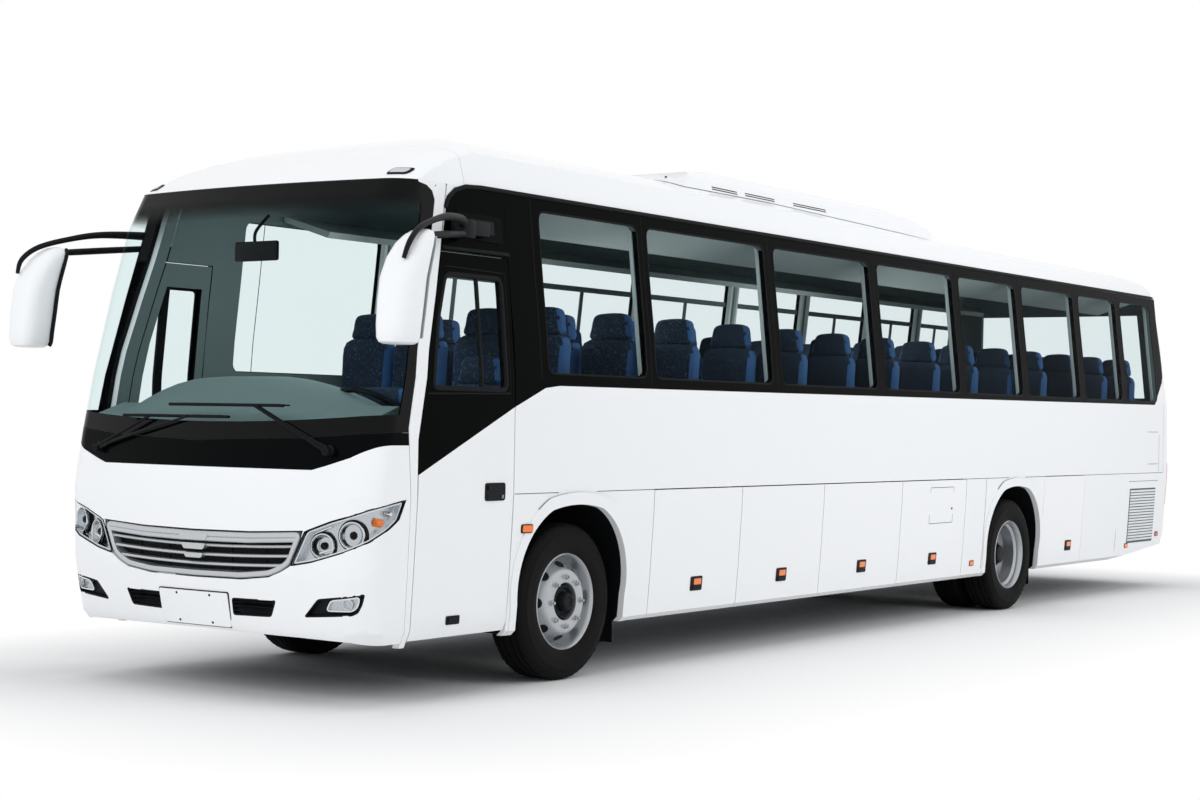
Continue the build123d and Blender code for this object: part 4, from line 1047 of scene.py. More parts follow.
def ring_tree():
    """Count copies round an axle, each turned by its share of a circle."""
    tree, source, place = new_tree("copies_round_axle", Count="Int", Radius="Float", Centre="Vector",
                                   Turn="Vector")
    circle = tree.nodes.new("GeometryNodeMeshCircle")
    index = tree.nodes.new("GeometryNodeInputIndex")
    whole, share = tree.nodes.new("ShaderNodeMath"), tree.nodes.new("ShaderNodeMath")
    whole.operation, share.operation = "MULTIPLY", "DIVIDE"
    whole.inputs[1].default_value = 2 * math.pi
    turn = tree.nodes.new("ShaderNodeCombineXYZ")
    move = tree.nodes.new("GeometryNodeTransform")
    for start, end in (
            (source.outputs["Count"], circle.inputs["Vertices"]),
            (source.outputs["Radius"], circle.inputs["Radius"]),
            (index.outputs[0], whole.inputs[0]), (whole.outputs[0], share.inputs[0]),
            (source.outputs["Count"], share.inputs[1]), (share.outputs[0], turn.inputs["Z"]),
            (circle.outputs[0], place.inputs["Points"]), (turn.outputs[0], place.inputs["Rotation"]),
            (place.outputs[0], move.inputs["Geometry"]),
            (source.outputs["Centre"], move.inputs["Translation"]),
            (source.outputs["Turn"], move.inputs["Rotation"])):
        tree.links.new(start, end)
    return finish_tree(tree, source, move.outputs[0])


ON_POINTS, ROUND_AXLE = point_tree(), ring_tree()
print("trees:", ON_POINTS.name, "and", ROUND_AXLE.name)

# %% Frozen copies
def copies(name, tree, body, slot, finish, host_points=((0, 0, 0),), **values):
    """Runs a copying tree on a host of loose points and freezes the result on a body."""
    host_mesh = bpy.data.meshes.new(name + "_host")
    host_mesh.from_pydata(host_points, [], [])
    host = placed(name + "_host", host_mesh)
    values["Finish"] = finish.material
    modifier = host.modifiers.new("copies", "NODES")
    modifier.node_group = tree
    for item in tree.interface.items_tree:
        if item.in_out == "INPUT" and item.name in values:
            modifier[item.identifier] = values[item.name]
    bpy.context.view_layer.update()
    evaluated = host.evaluated_get(bpy.context.evaluated_depsgraph_get())
    mesh = bpy.data.meshes.new_from_object(evaluated)
    bpy.data.objects.remove(host)
    return settled(name, mesh, body)


print("copying ready")

# %% Louvre behind the rear wheels
for hand in (1, -1):
    side = flank(hand)
    # the pad behind the slats is painted shade: a dark sheet that stands for the shadow in the gaps between
    # them
    slat_gap_shade = Piece(f"louvre_back_{SIDE_NAME[hand]}", "coach", "black_gloss", SHADE_DARKENED_LINER)
    slat_gap_shade.pad(box_outline(9.758, 10.50, 0.485, 1.045, 0.01), side, -0.001, 0.0012, 0, 0.1)
    slat_gap_shade.done()
    slat = Piece("slat", None, None)
    slat.rings([[(x, y, z) for x, z in ((0, 0), (hand * 0.011, -0.004), (hand * 0.011, -0.009), (0, -0.022))]
                for y in (-0.355, 0.355)])
    master = slat.master()
    rows = [side(10.129, 1.030 - 0.0295 * row)[0] for row in range(18)]
    copies(f"louvre_slats_{SIDE_NAME[hand]}", ON_POINTS, "coach", "white_paint", WHITE, rows,
           Unit=master, Size=1.0)
    bpy.data.objects.remove(master)

# %% [markdown]
# ## Headlamps
#
# A headlamp is a bright bowl under a clear cover. It holds two round lamps, each a ring, a deep reflector
# and a bulb shield, with an amber bulb and a small bright one towards the corner. The cover lies flush with
# the bodywork, so everything is dropped along the 45 degree line on which the lamp faces.

# %% Lamp outlines and the round lamp
HEADLAMP = [(-0.884, 1.004), (-0.745, 1.066), (-0.529, 1.140), (-0.311, 1.190), (-0.352, 1.076),
            (-0.411, 1.024), (-0.525, 0.955), (-0.690, 0.886), (-0.850, 0.828), (-0.964, 0.802)]


def shrunk(outline, share):
    """The outline drawn in towards its middle."""
    middle = sum((Vector(p) for p in outline), Vector((0, 0))) / len(outline)
    return [tuple(middle + (Vector(p) - middle) * share) for p in outline]


# sections of a round lamp for a radius of 1: (radius, depth in metres)
LAMP_RING = [(1, -0.012), (1, 0.0), (0.97, 0.006), (0.90, 0.006), (0.86, 0.0), (0.86, -0.012)]
LAMP_BOWL = [(0, -0.044), (0.22, -0.043), (0.5, -0.036), (0.74, -0.022), (0.87, -0.002), (0.89, -0.004),
             (0.76, -0.025), (0.5, -0.040), (0, -0.048)]
BULB_SHIELD = [(0, -0.008), (0.22, -0.010), (0.30, -0.020), (0.24, -0.038), (0, -0.038)]
LAMP_COLLAR = [(1.12, -0.034), (1.12, -0.010), (1, -0.010), (1, -0.034)]


def reflector(piece, centre, axis, radius, ring_kind, bowl_kind, bulb_kind):
    """A round lamp: outer ring, bowl and bulb shield, facing along the axis."""
    for section, kind, segments, closed in ((LAMP_RING, ring_kind, 40, True),
                                            (LAMP_BOWL, bowl_kind, 40, False),
                                            (BULB_SHIELD, bulb_kind, 24, False)):
        piece.turned([(radius * r, d) for r, d in section], centre, axis, kind, segments, closed)


print("headlamp outline of", len(HEADLAMP), "points")

# %% Headlamps
# an outline is read backwards on the right side, so that it runs the same way round on both
for hand in (1, -1):
    front = corner(hand)
    works = Piece(f"headlamp_works_{SIDE_NAME[hand]}", "coach", "lamp_lens",
                  REFLECTOR, CHROME, MIRROR_GLASS, AMBER, PLASTIC)
    cover = Piece(f"headlamp_cover_{SIDE_NAME[hand]}", "coach", "lamp_lens", LENS, RUBBER)
    outline = HEADLAMP if hand == 1 else HEADLAMP[::-1]
    works.pad(rounded(shrunk(outline, 0.97), 0.02), front, -0.062, -0.056, 0, 0.05)
    rim = rounded(shrunk(outline, 0.945), 0.02)
    rim_section = [(-0.004, -0.056), (-0.010, -0.006), (-0.003, -0.006), (0.004, -0.056)]
    works.edging(rim, front, rim_section, 1, 0.04)
    for x, y, z, radius in ((0.938, -2.060, 0.925, 0.073), (1.122, -2.020, 0.990, 0.080)):
        aim = Vector((hand * 0.30, -1, 0.02))
        spot = Vector((hand * x, FRONT_AXLE_Y + y, z)) - aim.normalized() * 0.026
        reflector(works, spot, aim, radius, 1, 2, 4)
        works.turned([(radius * r, d) for r, d in LAMP_COLLAR], spot, aim, 4, 40, closed=True)
    for u, v, size, kind in ((-0.455, 1.060, 0.025, 3), (-0.395, 1.108, 0.016, 1)):
        place, normal = front(u, v)
        works.turned([(0, -0.054), (size, -0.054), (size, -0.020), (size * 0.7, -0.012), (0, -0.009)],
                     place, normal, kind, 24)
    for start, end in (((-0.845, 0.872), (-0.74, 0.915)), ((-0.86, 0.985), (-0.76, 1.035))):
        works.bar([start, end], front, bead(0.006, -0.056, -0.044), 1, 0.05)
    works.done()
    cover.pad(rounded(outline, 0.015), front, -0.0035, -0.0005, 0, 0.03)
    edge = rounded(shrunk(outline, 0.985), 0.02)
    cover.edging(edge, front, bead(0.0035, -0.004, 0.0012), 1, 0.05)
    covered = cover.done()
    if hand == 1:
        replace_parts(covered, "front_lamps")

# %% [markdown]
# ## Fog lamps and air intakes
#
# The bumper has black pockets: a slanted one at each corner, with a wide clear lens over a small round
# lamp, and an air intake inboard of it. A pocket is a black pad with a brighter lamp or dark bars laid on
# it.

# %% Fog lamps and intakes
FOG_LAMP = [(-0.869, 0.519), (-0.801, 0.622), (-0.549, 0.662), (-0.562, 0.606), (-0.583, 0.560),
            (-0.615, 0.543)]
FOG_LENS = [(-0.755, 0.560), (-0.735, 0.618), (-0.575, 0.645), (-0.585, 0.590), (-0.615, 0.565)]
INTAKE = [(0.290, 0.594), (0.613, 0.599), (0.569, 0.505), (0.290, 0.500)]
# sections of the bars round a pocket and round its lens: (sideways, outwards)
FOG_RIM = [(-0.001, -0.030), (-0.005, 0.001), (0.004, 0.001), (0.004, -0.002), (0.001, -0.030)]
LENS_RIM = [(-0.004, -0.024), (-0.004, -0.004), (0.004, -0.004), (0.004, -0.024)]
for hand in (1, -1):
    front = corner(hand)
    outline = rounded(FOG_LAMP if hand == 1 else FOG_LAMP[::-1], 0.012)
    fog = Piece(f"fog_lamp_{SIDE_NAME[hand]}", "coach", "lamp_lens", PLASTIC, CHROME, REFLECTOR, LENS)
    fog.pad(outline, front, -0.030, -0.026, 0, 0.04)
    fog.edging(outline, front, FOG_RIM, 0, 0.04)
    lens_line = rounded(FOG_LENS if hand == 1 else FOG_LENS[::-1], 0.02)
    fog.pad(lens_line, front, -0.026, -0.022, 2, 0.04)
    fog.edging(lens_line, front, LENS_RIM, 1, 0.04)
    place, normal = front(-0.640, 0.603)
    reflector(fog, place - normal * 0.010, normal + Vector((0, -0.4, 0)), 0.032, 1, 1, 2)
    fog.pad(lens_line, front, -0.005, -0.002, 3, 0.04)
    fog.done()
    intake = Piece(f"intake_{SIDE_NAME[hand]}", "coach", "black_gloss", RUBBER, PLASTIC)
    hole = rounded([(hand * x, z) for x, z in INTAKE], 0.015)
    intake.pad(hole, NOSE, -0.028, -0.024, 0, 0.06)
    for height, end in ((0.523, 0.575), (0.548, 0.588), (0.573, 0.598)):
        intake.bar([(hand * 0.294, height), (hand * end, height)], NOSE, bead(0.004, -0.024, -0.006), 1)
    intake.edging(hole, NOSE, bead(0.005, -0.026, 0.001), 1, 0.05)
    intake.done()

# %% [markdown]
# ## Grille
#
# A silver frame, broad along its top edge, holds three thinner bars in front of a dark core. At the middle
# the top edge and the bars each drop in a short step, which marks the front's centre. The bars are swept
# along the nose's own curve, carried straight over the opening.

# %% Grille
GRILLE_TOP = [(-0.790, 0.984), (-0.443, 0.966), (0.0, 0.960), (0.443, 0.966), (0.790, 0.984)]
GRILLE_FOOT = [(0.716, 0.822), (0.655, 0.783), (0.576, 0.752), (0.371, 0.730), (0.0, 0.726),
               (-0.371, 0.730), (-0.576, 0.752), (-0.655, 0.783), (-0.716, 0.822)]


def carried(low, high):
    """The nose's surface between two heights, carried straight over whatever opening lies there."""
    def place(x, z):
        below, above = NOSE(x, low), NOSE(x, high)
        share = (z - low) / (high - low)
        return below[0].lerp(above[0], share), below[1].lerp(above[1], share).normalized()
    return place


face = carried(0.690, 1.030)

grille = Piece("grille_frame", "coach", "silver_paint", SILVER, RUBBER)
frame_line = rounded(GRILLE_TOP + GRILLE_FOOT, 0.03)
grille.pad(frame_line, face, -0.060, -0.052, 1, 0.06)
frame_section = [(-0.018, -0.056), (-0.018, 0.000), (-0.012, 0.005), (0.007, 0.005), (0.014, -0.002),
                 (0.015, -0.056)]
grille.edging(frame_line, face, frame_section, 0, 0.05)
top_bar = [(x * 0.97, z - 0.030) for x, z in GRILLE_TOP]
grille.bar(top_bar, face, bead(0.015, -0.040, 0.004), step=0.05)
bar_section = [(-0.0085, -0.040), (-0.008, -0.008), (-0.003, -0.003), (0.003, -0.003), (0.008, -0.008),
               (0.0085, -0.040)]
for height, half in ((0.893, 0.752), (0.838, 0.722), (0.784, 0.664)):
    line = [half * (i / 24 - 1) for i in range(49)]
    grille.strip([face(x, height + 0.018 * (x / 0.7) ** 2) for x in line], bar_section)
for top, foot, wide in ((0.962, 0.922, 0.125), (0.903, 0.868, 0.100), (0.846, 0.818, 0.080)):
    drop_shape = [(-wide, top), (-wide * 0.80, foot), (wide * 0.80, foot), (wide, top)]
    grille.pad(rounded(drop_shape, 0.012), face, -0.040, 0.007, 0, 0.05)
for x in (-0.52, -0.26, 0.26, 0.52):
    grille.bar([(x, 0.735), (x, 0.965)], face, bead(0.004, -0.056, -0.046), 1)
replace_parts(grille.done(), "grille")

# %% [markdown]
# ## Blank plate and roof markers
#
# The plate holder stands on the bumper and stays blank, held by four screws. Two small marker lamps sit on
# the dome over the windscreen, pale lenses in black rims. A thin white patch then carries the dome's paint
# round each upper corner of the windscreen.

# %% Plate and markers
plate = Piece("front_plate", "coach", "white_paint", WHITE, PLASTIC)
holder = carried(0.400, 0.645)
plate.pad(box_outline(-0.308, 0.268, 0.421, 0.629, 0.014), holder, -0.002, 0.006, 1, 0.06)
plate.pad(box_outline(-0.302, 0.262, 0.427, 0.623, 0.012), holder, 0.004, 0.010, 0, 0.06)
for x in (-0.150, 0.120):
    for z in (0.445, 0.605):
        place, normal = holder(x, z)
        plate.turned([(0.008, 0.008), (0.008, 0.011), (0.005, 0.0135), (0, 0.014)], place, normal, 1, 16)
plate.done()
for hand in (1, -1):
    marker = Piece(f"roof_marker_{SIDE_NAME[hand]}", "coach", "lamp_lens", RUBBER, REFLECTOR)
    middle = (hand * 1.01, 3.088)
    plaque(marker, NOSE, middle, (0.058, 0.022), 0.018, -0.004, 0.005, 0, 0.03)
    plaque(marker, NOSE, middle, (0.046, 0.015), 0.014, 0.004, 0.009, 1, 0.03)
    marker.done()

# %% Windscreen corners
corners = Piece("windscreen_corners", "coach", "white_paint", WHITE)
for hand in (1, -1):
    patch = [(-0.122, 3.042), (-0.262, 3.048), (-0.255, 3.026), (-0.205, 3.014), (-0.170, 2.985),
             (-0.156, 2.945), (-0.148, 2.900), (-0.140, 2.900)]
    corners.pad(patch if hand == 1 else patch[::-1], corner(hand), -0.001, 0.002, 0, 0.03)
corners.done()

# %% [markdown]
# ## Wipers
#
# Each wiper is an arm from a pivot cap at the foot of the windscreen to a spring joint, then a long blade
# carrier with a rubber lip. The CAD wiper fixes where the blade lies and the modelled one is drawn on the
# same line.

# %% Wipers
def near_glass(x, z, off):
    """A point on the nose pushed off it."""
    point, normal = NOSE(x, z)
    return point + normal * off


for name, pivot, joint, ends in (
        ("left", (0.967, 1.461), (0.432, 1.700), ((-0.277, 1.712), (0.637, 1.712))),
        ("right", (-0.927, 1.442), (-0.125, 1.634), ((-0.671, 1.642), (0.204, 1.642)))):
    wiper = Piece(f"wiper_{name}", "coach", "dark_plastic", RUBBER, PLASTIC)
    base, _ = NOSE(*pivot)
    knee = (pivot[0] * 0.86 + joint[0] * 0.14, pivot[1] * 0.86 + joint[1] * 0.14)
    wiper.turned([(0.030, 0.0), (0.030, 0.020), (0.024, 0.028), (0, 0.030)], base, (0, -1, 0.25), 1, 24)
    wiper.tube([near_glass(*pivot, 0.020), near_glass(*knee, 0.028)], [0.020, 0.015], 1, 10, 3)
    spots = [near_glass(knee[0] + (joint[0] - knee[0]) * t, knee[1] + (joint[1] - knee[1]) * t, 0.028)
             for t in (0, 0.33, 0.66, 1)]
    wiper.tube(spots, [0.013, 0.010, 0.008, 0.007], 1, 8, 4)
    line = [NOSE(ends[0][0] + (ends[1][0] - ends[0][0]) * i / 16, ends[0][1]) for i in range(17)]
    wiper.strip(line, [(-0.003, 0.001), (-0.005, 0.012), (0.005, 0.012), (0.003, 0.001)], 0)
    wiper.strip(line[1:-1], [(-0.008, 0.012), (-0.006, 0.019), (0.006, 0.019), (0.008, 0.012)], 1)
    wiper.strip(line[5:-5], [(-0.006, 0.019), (-0.004, 0.027), (0.004, 0.027), (0.006, 0.019)], 1)
    wiper.done()

# %% [markdown]
# ## Mirrors
#
# The mirror housings are pale shells that hang from black forked arms. A shell is skinned over level rings
# whose sides are squarer than an ellipse, with its glass behind, a black edge inboard and two tubes as the
# fork.

# %% Mirror sizes
MIRROR_X = 1.515
# rings of the housing: height, distance behind the front axle, half width, half depth
HOUSING = [(2.053, -2.086, 0.045, 0.060), (2.056, -2.086, 0.075, 0.092), (2.066, -2.087, 0.094, 0.115),
           (2.090, -2.087, 0.104, 0.127), (2.160, -2.084, 0.110, 0.130), (2.290, -2.070, 0.113, 0.136),
           (2.420, -2.052, 0.113, 0.136), (2.530, -2.012, 0.109, 0.126), (2.610, -1.968, 0.098, 0.108),
           (2.660, -1.930, 0.082, 0.084), (2.688, -1.906, 0.062, 0.058), (2.698, -1.900, 0.035, 0.030)]
# arms as (points, radii), with X outward and Y behind the front axle, and the blocks that hold them
ARMS = [([(1.585, -2.148, 2.520), (1.592, -2.110, 2.610), (1.565, -2.000, 2.695), (1.505, -1.800, 2.760),
          (1.440, -1.600, 2.800), (1.330, -1.340, 2.810), (1.205, -1.170, 2.795)],
         [0.012, 0.016, 0.017, 0.018, 0.022, 0.028, 0.030], 14),
        ([(1.470, -1.930, 2.660), (1.455, -1.760, 2.680), (1.405, -1.540, 2.705), (1.280, -1.260, 2.735)],
         [0.020, 0.022, 0.022, 0.020], 12)]
BRACKETS = [((1.165, 1.275), (-1.245, -1.120), (2.715, 2.830), 0.02),
            ((1.160, 1.205), (-1.230, -0.900), (2.745, 2.835), 0.012)]


def squarish(angle, wide, deep):
    """A point of a ring squarer than an ellipse, flattened behind."""
    c, d = math.cos(angle), math.sin(angle)
    back = 1 if d < 0 else 0.72
    return wide * math.copysign(abs(c) ** 0.6, c), deep * math.copysign(abs(d) ** 0.75, d) * back


print("mirror housing of", len(HOUSING), "rings")

# %% Mirrors
for hand in (1, -1):
    name = SIDE_NAME[hand]
    mirror = Piece(f"mirror_housing_{name}", "coach", "white_paint", WHITE, MIRROR_GLASS, PLASTIC)
    rings = []
    for z, station, wide, deep in HOUSING:
        offsets = [squarish(2 * math.pi * i / 40, wide, deep) for i in range(40)]
        rings.append([(hand * MIRROR_X + u, FRONT_AXLE_Y + station + v, z) for u, v in offsets])
    mirror.rings(rings)
    mirror.rings([[(hand * MIRROR_X + wide * u, FRONT_AXLE_Y + station + deep * 0.70 + w, z)
                   for u, w in ((-0.84, 0.0), (0.84, 0.0), (0.82, 0.007), (-0.82, 0.007))]
                  for z, station, wide, deep in HOUSING[3:-2]], 1)
    side_line = [(hand * (MIRROR_X - wide * 0.9), FRONT_AXLE_Y + station + deep * 0.62, z)
                 for z, station, wide, deep in HOUSING[2:-1]]
    mirror.tube(side_line, 0.012, 2, 8, 2)
    for path, radii, sides in ARMS:
        mirror.tube([(hand * x, FRONT_AXLE_Y + y, z) for x, y, z in path], radii, 2, sides, 5)
    for across, along, (low, high), bevel in BRACKETS:
        inner, outer = sorted(hand * x for x in across)
        mirror.block((inner, FRONT_AXLE_Y + along[0], low), (outer, FRONT_AXLE_Y + along[1], high), 2, bevel)
    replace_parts(mirror.done(), f"mirror_{name}")

# %% [markdown]
# ## Wheels
#
# Heavy wheels are pressed dishes: a rolled lip, a deep well, and a disc with hand holes and a ring of nuts
# round a black hub. The front disc bulges out past the hub and the rear one is dished in. The lathe shape
# comes first, then the ring tree repeats the nuts and the dark hand holes.

# %% Lathe profiles of the wheels
# (radius, distance outward from the wheel's middle plane)
OUTER_LIP = [(0.303, 0.126), (0.308, 0.122), (0.308, 0.108)]
BACK_LIP = [(0.308, -0.108), (0.308, -0.122), (0.303, -0.126), (0.290, -0.118), (0.284, -0.100),
            (0.262, -0.080)]
FRONT_RIM = BACK_LIP + [(0.262, 0.028), (0.272, 0.040), (0.276, 0.062), (0.283, 0.085), (0.288, 0.105),
                        (0.296, 0.118)] + OUTER_LIP
FRONT_FACE = [(0.266, 0.024), (0.258, 0.030), (0.252, 0.040), (0.214, 0.102), (0.207, 0.115),
              (0.196, 0.122), (0.186, 0.1235), (0.128, 0.1235), (0.121, 0.121), (0.118, 0.115),
              (0.118, 0.070), (0.118, -0.05), (0.15, -0.06), (0.262, -0.04)]
FRONT_HUB = [(0.118, 0.072), (0.112, 0.100), (0.104, 0.112), (0.092, 0.113), (0.084, 0.104), (0.080, 0.098),
             (0.066, 0.100), (0.060, 0.112), (0.058, 0.136), (0.052, 0.146), (0.040, 0.150), (0.034, 0.144),
             (0, 0.143)]
REAR_RIM = BACK_LIP + [(0.262, 0.055), (0.272, 0.066), (0.282, 0.074), (0.284, 0.092),
                       (0.294, 0.112)] + OUTER_LIP
REAR_FACE = [(0.273, -0.012), (0.268, -0.030), (0.232, -0.122), (0.222, -0.132), (0.206, -0.137),
             (0.160, -0.148), (0.112, -0.150), (0.112, -0.17), (0.20, -0.18)]
REAR_HUB = [(0.114, -0.151), (0.112, -0.020), (0.106, -0.004), (0.094, 0.002), (0.086, 0.004), (0.080, 0.030),
            (0.074, 0.040), (0.060, 0.044), (0.030, 0.046), (0, 0.046)]
INNER_DISC = [(0.266, 0.024), (0.240, 0.100), (0.200, 0.130), (0.0, 0.130)]
print("front rim lip", max(r for r, _ in FRONT_RIM), "m in radius")

# %% Rims, discs, nuts and hand holes
# washer, nut and stud end: top, foot, radius, sides
NUT_PARTS = ((0.004, -0.001, 0.020, 24), (0.021, 0.003, 0.0165, 6), (0.034, 0.020, 0.009, 16))


def wheel(name, node, body, middle, lathes, nut_spot, hole_spot, hole_tilt, inner=None):
    """One wheel, or a pair with its inner rim; distances run outward from the middle plane."""
    hand = 1 if middle.x > 0 else -1
    axis = X_AXIS * hand
    disc = Piece(name, body, "wheel_silver", WHEEL_PAINT, PLASTIC)
    for profile, kind in zip(lathes, (0, 0, 1)):
        disc.turned(profile, middle, axis, kind, 96)
    if inner:
        disc.turned(FRONT_RIM, inner, -axis, 0, 72)
        disc.turned(INNER_DISC, inner, -axis, 0, 48)
    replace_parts(disc.done(40), node)
    nut = Piece("nut", None, None)
    for top, low, radius, sides in NUT_PARTS:
        section = [(0, top), (radius * 0.84, top), (radius, top - 0.003), (radius, low), (0, low)]
        nut.turned(section, (0, 0, 0), Z_AXIS, 0, sides)
    # the hand holes are dark discs laid on the solid disc: painted shade that stands for the openings
    hole = Piece("hole", None, None)
    lean = Matrix.Rotation(math.radians(hole_tilt), 3, "Y")
    turns = [math.pi * t / 12 for t in range(24)]
    hole.rings([[lean @ Vector((0.033 * s * math.cos(t), 0.033 * s * math.sin(t), w)) for t in turns]
                for s, w in ((0.3, 0.0030), (0.94, 0.0032), (1.0, 0.0015), (0.9, -0.003))])
    for piece, spot, finish in ((nut, nut_spot, WHEEL_PAINT), (hole, hole_spot, PLASTIC)):
        master = piece.master()
        copies(f"{name}_{piece.name}s", ROUND_AXLE, body, "wheel_silver", finish, Unit=master, Count=8,
               Radius=spot[0], Centre=middle + axis * spot[1], Turn=(0, hand * math.pi / 2, 0))
        bpy.data.objects.remove(master)


print("a nut has", len(NUT_PARTS), "turned parts")

# %% Tyres
TYRE_HALF = [(0.2965, 0.112), (0.3005, 0.118), (0.309, 0.119), (0.313, 0.122), (0.330, 0.131),
             (0.352, 0.137), (0.385, 0.1385), (0.415, 0.1375), (0.428, 0.1385), (0.432, 0.1360),
             (0.452, 0.130), (0.470, 0.123), (0.484, 0.115), (0.4935, 0.104), (0.4965, 0.094),
             (0.4975, 0.080), (0.486, 0.078), (0.486, 0.070), (0.4985, 0.068), (0.4992, 0.036),
             (0.487, 0.034), (0.487, 0.026), (0.4995, 0.024)]
LUG_SECTION = ((0.4785, 0.117), (0.4805, 0.1205), (0.4945, 0.1070), (0.4925, 0.100))
TYRE_SECTION = [(0.294, -0.108), (0.294, 0.108)] + TYRE_HALF + [(r, -d) for r, d in reversed(TYRE_HALF)]


def tyre(name, node, body, middles):
    """Tyres of one body: a lathed case with grooves, and lugs round each shoulder."""
    case = Piece(name, body, "tyre", TYRE)
    for middle in middles:
        case.turned(TYRE_SECTION, middle, X_AXIS, 0, 120, closed=True)
    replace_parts(case.done(30), node)
    lug = Piece("lug", None, None)
    lug.rings([[(r, w, d) for r, d in LUG_SECTION] for w in (-0.017, 0.017)])
    master = lug.master()
    for index, middle in enumerate(middles):
        for way, label in ((1, "b"), (-1, "a")):
            copies(f"{name}_lugs_{index}{label}", ROUND_AXLE, body, "tyre", TYRE, Unit=master, Count=56,
                   Radius=0.0, Centre=middle, Turn=(0, way * math.pi / 2, 0))
    bpy.data.objects.remove(master)


print("tyre", max(r for r, _ in TYRE_SECTION), "m in radius")

# %% Wheels in place
AXLE_Z = 0.5
for hand in (1, -1):
    name = SIDE_NAME[hand]
    front = Vector((hand * 1.034, FRONT_AXLE_Y, AXLE_Z))
    rear = Vector((hand * 1.079, REAR_AXLE_Y, AXLE_Z))
    inner = Vector((hand * 0.759, REAR_AXLE_Y, AXLE_Z))
    wheel(f"front_disc_{name}", f"front_wheel_{name}", f"front_wheel_{name}_body", front,
          (FRONT_RIM, FRONT_FACE, FRONT_HUB), (0.157, 0.1232), (0.2340, 0.0715), 55)
    wheel(f"rear_disc_{name}", f"rear_wheels_{name}", f"rear_wheels_{name}_body", rear,
          (REAR_RIM, REAR_FACE, REAR_HUB), (0.150, -0.149), (0.196, -0.138), -14, inner)
    tyre(f"front_case_{name}", f"front_tyre_{name}", f"front_wheel_{name}_body", [front])
    tyre(f"rear_cases_{name}", f"rear_tyres_{name}", f"rear_wheels_{name}_body", [rear, inner])

# %% [markdown]
# ## Seats
#
# A coach seat is three padded forms: a cushion, a tall back with side bolsters and a headrest. Each starts
# as a rounded box made from a cube's grid, and cloth simulation inflates it so that its faces crown and its
# sides pull in. One seat is padded that way and Geometry Nodes then repeat it along both rows.

# %% Seat cloth
CLOTH = Finish("seat_cloth", linear("#1E2440"), 0.92, Specular_IOR_Level=0.25)
warp, weft = ((along * 2400).math("SINE") for along in CLOTH.place()[1:])
threads = warp * weft * 0.5 + 0.5
flecks = ((CLOTH.noise(70.0, 3) - 0.56) * 9).math("MAXIMUM", 0.0, clamp=True)
CLOTH.set("Base Color", CLOTH.mix(flecks, linear("#222D3C"), linear("#3C5062")))
CLOTH.bump(threads, 0.2, 0.001)
EDGE_CLOTH = Finish("seat_edge_cloth", linear("#34557F"), 0.88, Specular_IOR_Level=0.25)
EDGE_CLOTH.bump(EDGE_CLOTH.noise(900.0, 2), 0.2, 0.001)
print("seat cloths:", CLOTH.material.name, EDGE_CLOTH.material.name)

# %% Seat forms
def pillow(centre, size, power=4.0, divisions=7, taper=0.0, lean=0.0, bolster=0.0):
    """A rounded box as points and faces: a cube's grid pulled onto a soft norm."""
    points, faces = [], []
    for axis in range(3):
        for way in (-1, 1):
            base = len(points)
            for i in range(divisions + 1):
                for j in range(divisions + 1):
                    spot = [0.0, 0.0, 0.0]
                    spot[axis] = way
                    spot[(axis + 1) % 3] = 2 * i / divisions - 1
                    spot[(axis + 2) % 3] = 2 * j / divisions - 1
                    norm = sum(abs(v) ** power for v in spot) ** (1 / power)
                    x, y, z = (v / norm for v in spot)
                    x *= 1 - taper * (z + 1) / 2
                    y -= bolster * max(0.0, abs(x) - 0.55) * (y < 0)
                    flat = Vector((x * size[0] / 2, y * size[1] / 2 + lean * (z + 1) / 2, z * size[2] / 2))
                    points.append(flat + Vector(centre))
            for i in range(divisions):
                for j in range(divisions):
                    a = base + i * (divisions + 1) + j
                    quad = (a, a + divisions + 1, a + divisions + 2, a + 1)
                    faces.append(quad if way > 0 else tuple(reversed(quad)))
    return points, faces


SEAT_PADS = {
    "cushion": dict(centre=(0, -0.395, 0.440), size=(0.45, 0.41, 0.115), power=5.0),
    "back": dict(centre=(0, -0.135, 0.640), size=(0.45, 0.12, 0.46), power=5.0, lean=0.04, bolster=0.5),
    "headrest": dict(centre=(0, -0.090, 0.940), size=(0.35, 0.095, 0.185), power=5.5, taper=0.22, lean=0.015),
}
print("pads:", ", ".join(SEAT_PADS))

# %% Pads blown up as cloth
CLOTH_FRAMES = 20


def inflate(name, shape, limit=0.012):
    points, faces = shape
    mesh = bpy.data.meshes.new(name)
    mesh.from_pydata(points, [], faces)
    work = bmesh.new()
    work.from_mesh(mesh)
    bmesh.ops.remove_doubles(work, verts=work.verts, dist=0.0001)
    bmesh.ops.recalc_face_normals(work, faces=work.faces)
    work.to_mesh(mesh)
    work.free()
    pad = placed(name, mesh)
    start = [vertex.co.copy() for vertex in mesh.vertices]
    cloth = pad.modifiers.new("cloth", "CLOTH")
    cloth.settings.use_pressure = True
    cloth.settings.uniform_pressure_force = 4.0
    cloth.settings.effector_weights.gravity = 0.0
    cloth.point_cache.frame_end = CLOTH_FRAMES
    for moment in range(1, CLOTH_FRAMES + 1):
        scene.frame_set(moment)
    blown = bpy.data.meshes.new_from_object(pad.evaluated_get(bpy.context.evaluated_depsgraph_get()))
    pad.modifiers.remove(cloth)
    for vertex, origin, target in zip(mesh.vertices, start, blown.vertices):
        shift = target.co - origin
        if shift.length > limit:
            shift *= limit / shift.length
        vertex.co = origin + shift
    scene.frame_set(1)
    return pad


pads = {name: inflate(name, pillow(**values)) for name, values in SEAT_PADS.items()}
print("pads of", ", ".join(str(len(pad.data.vertices)) for pad in pads.values()), "points")

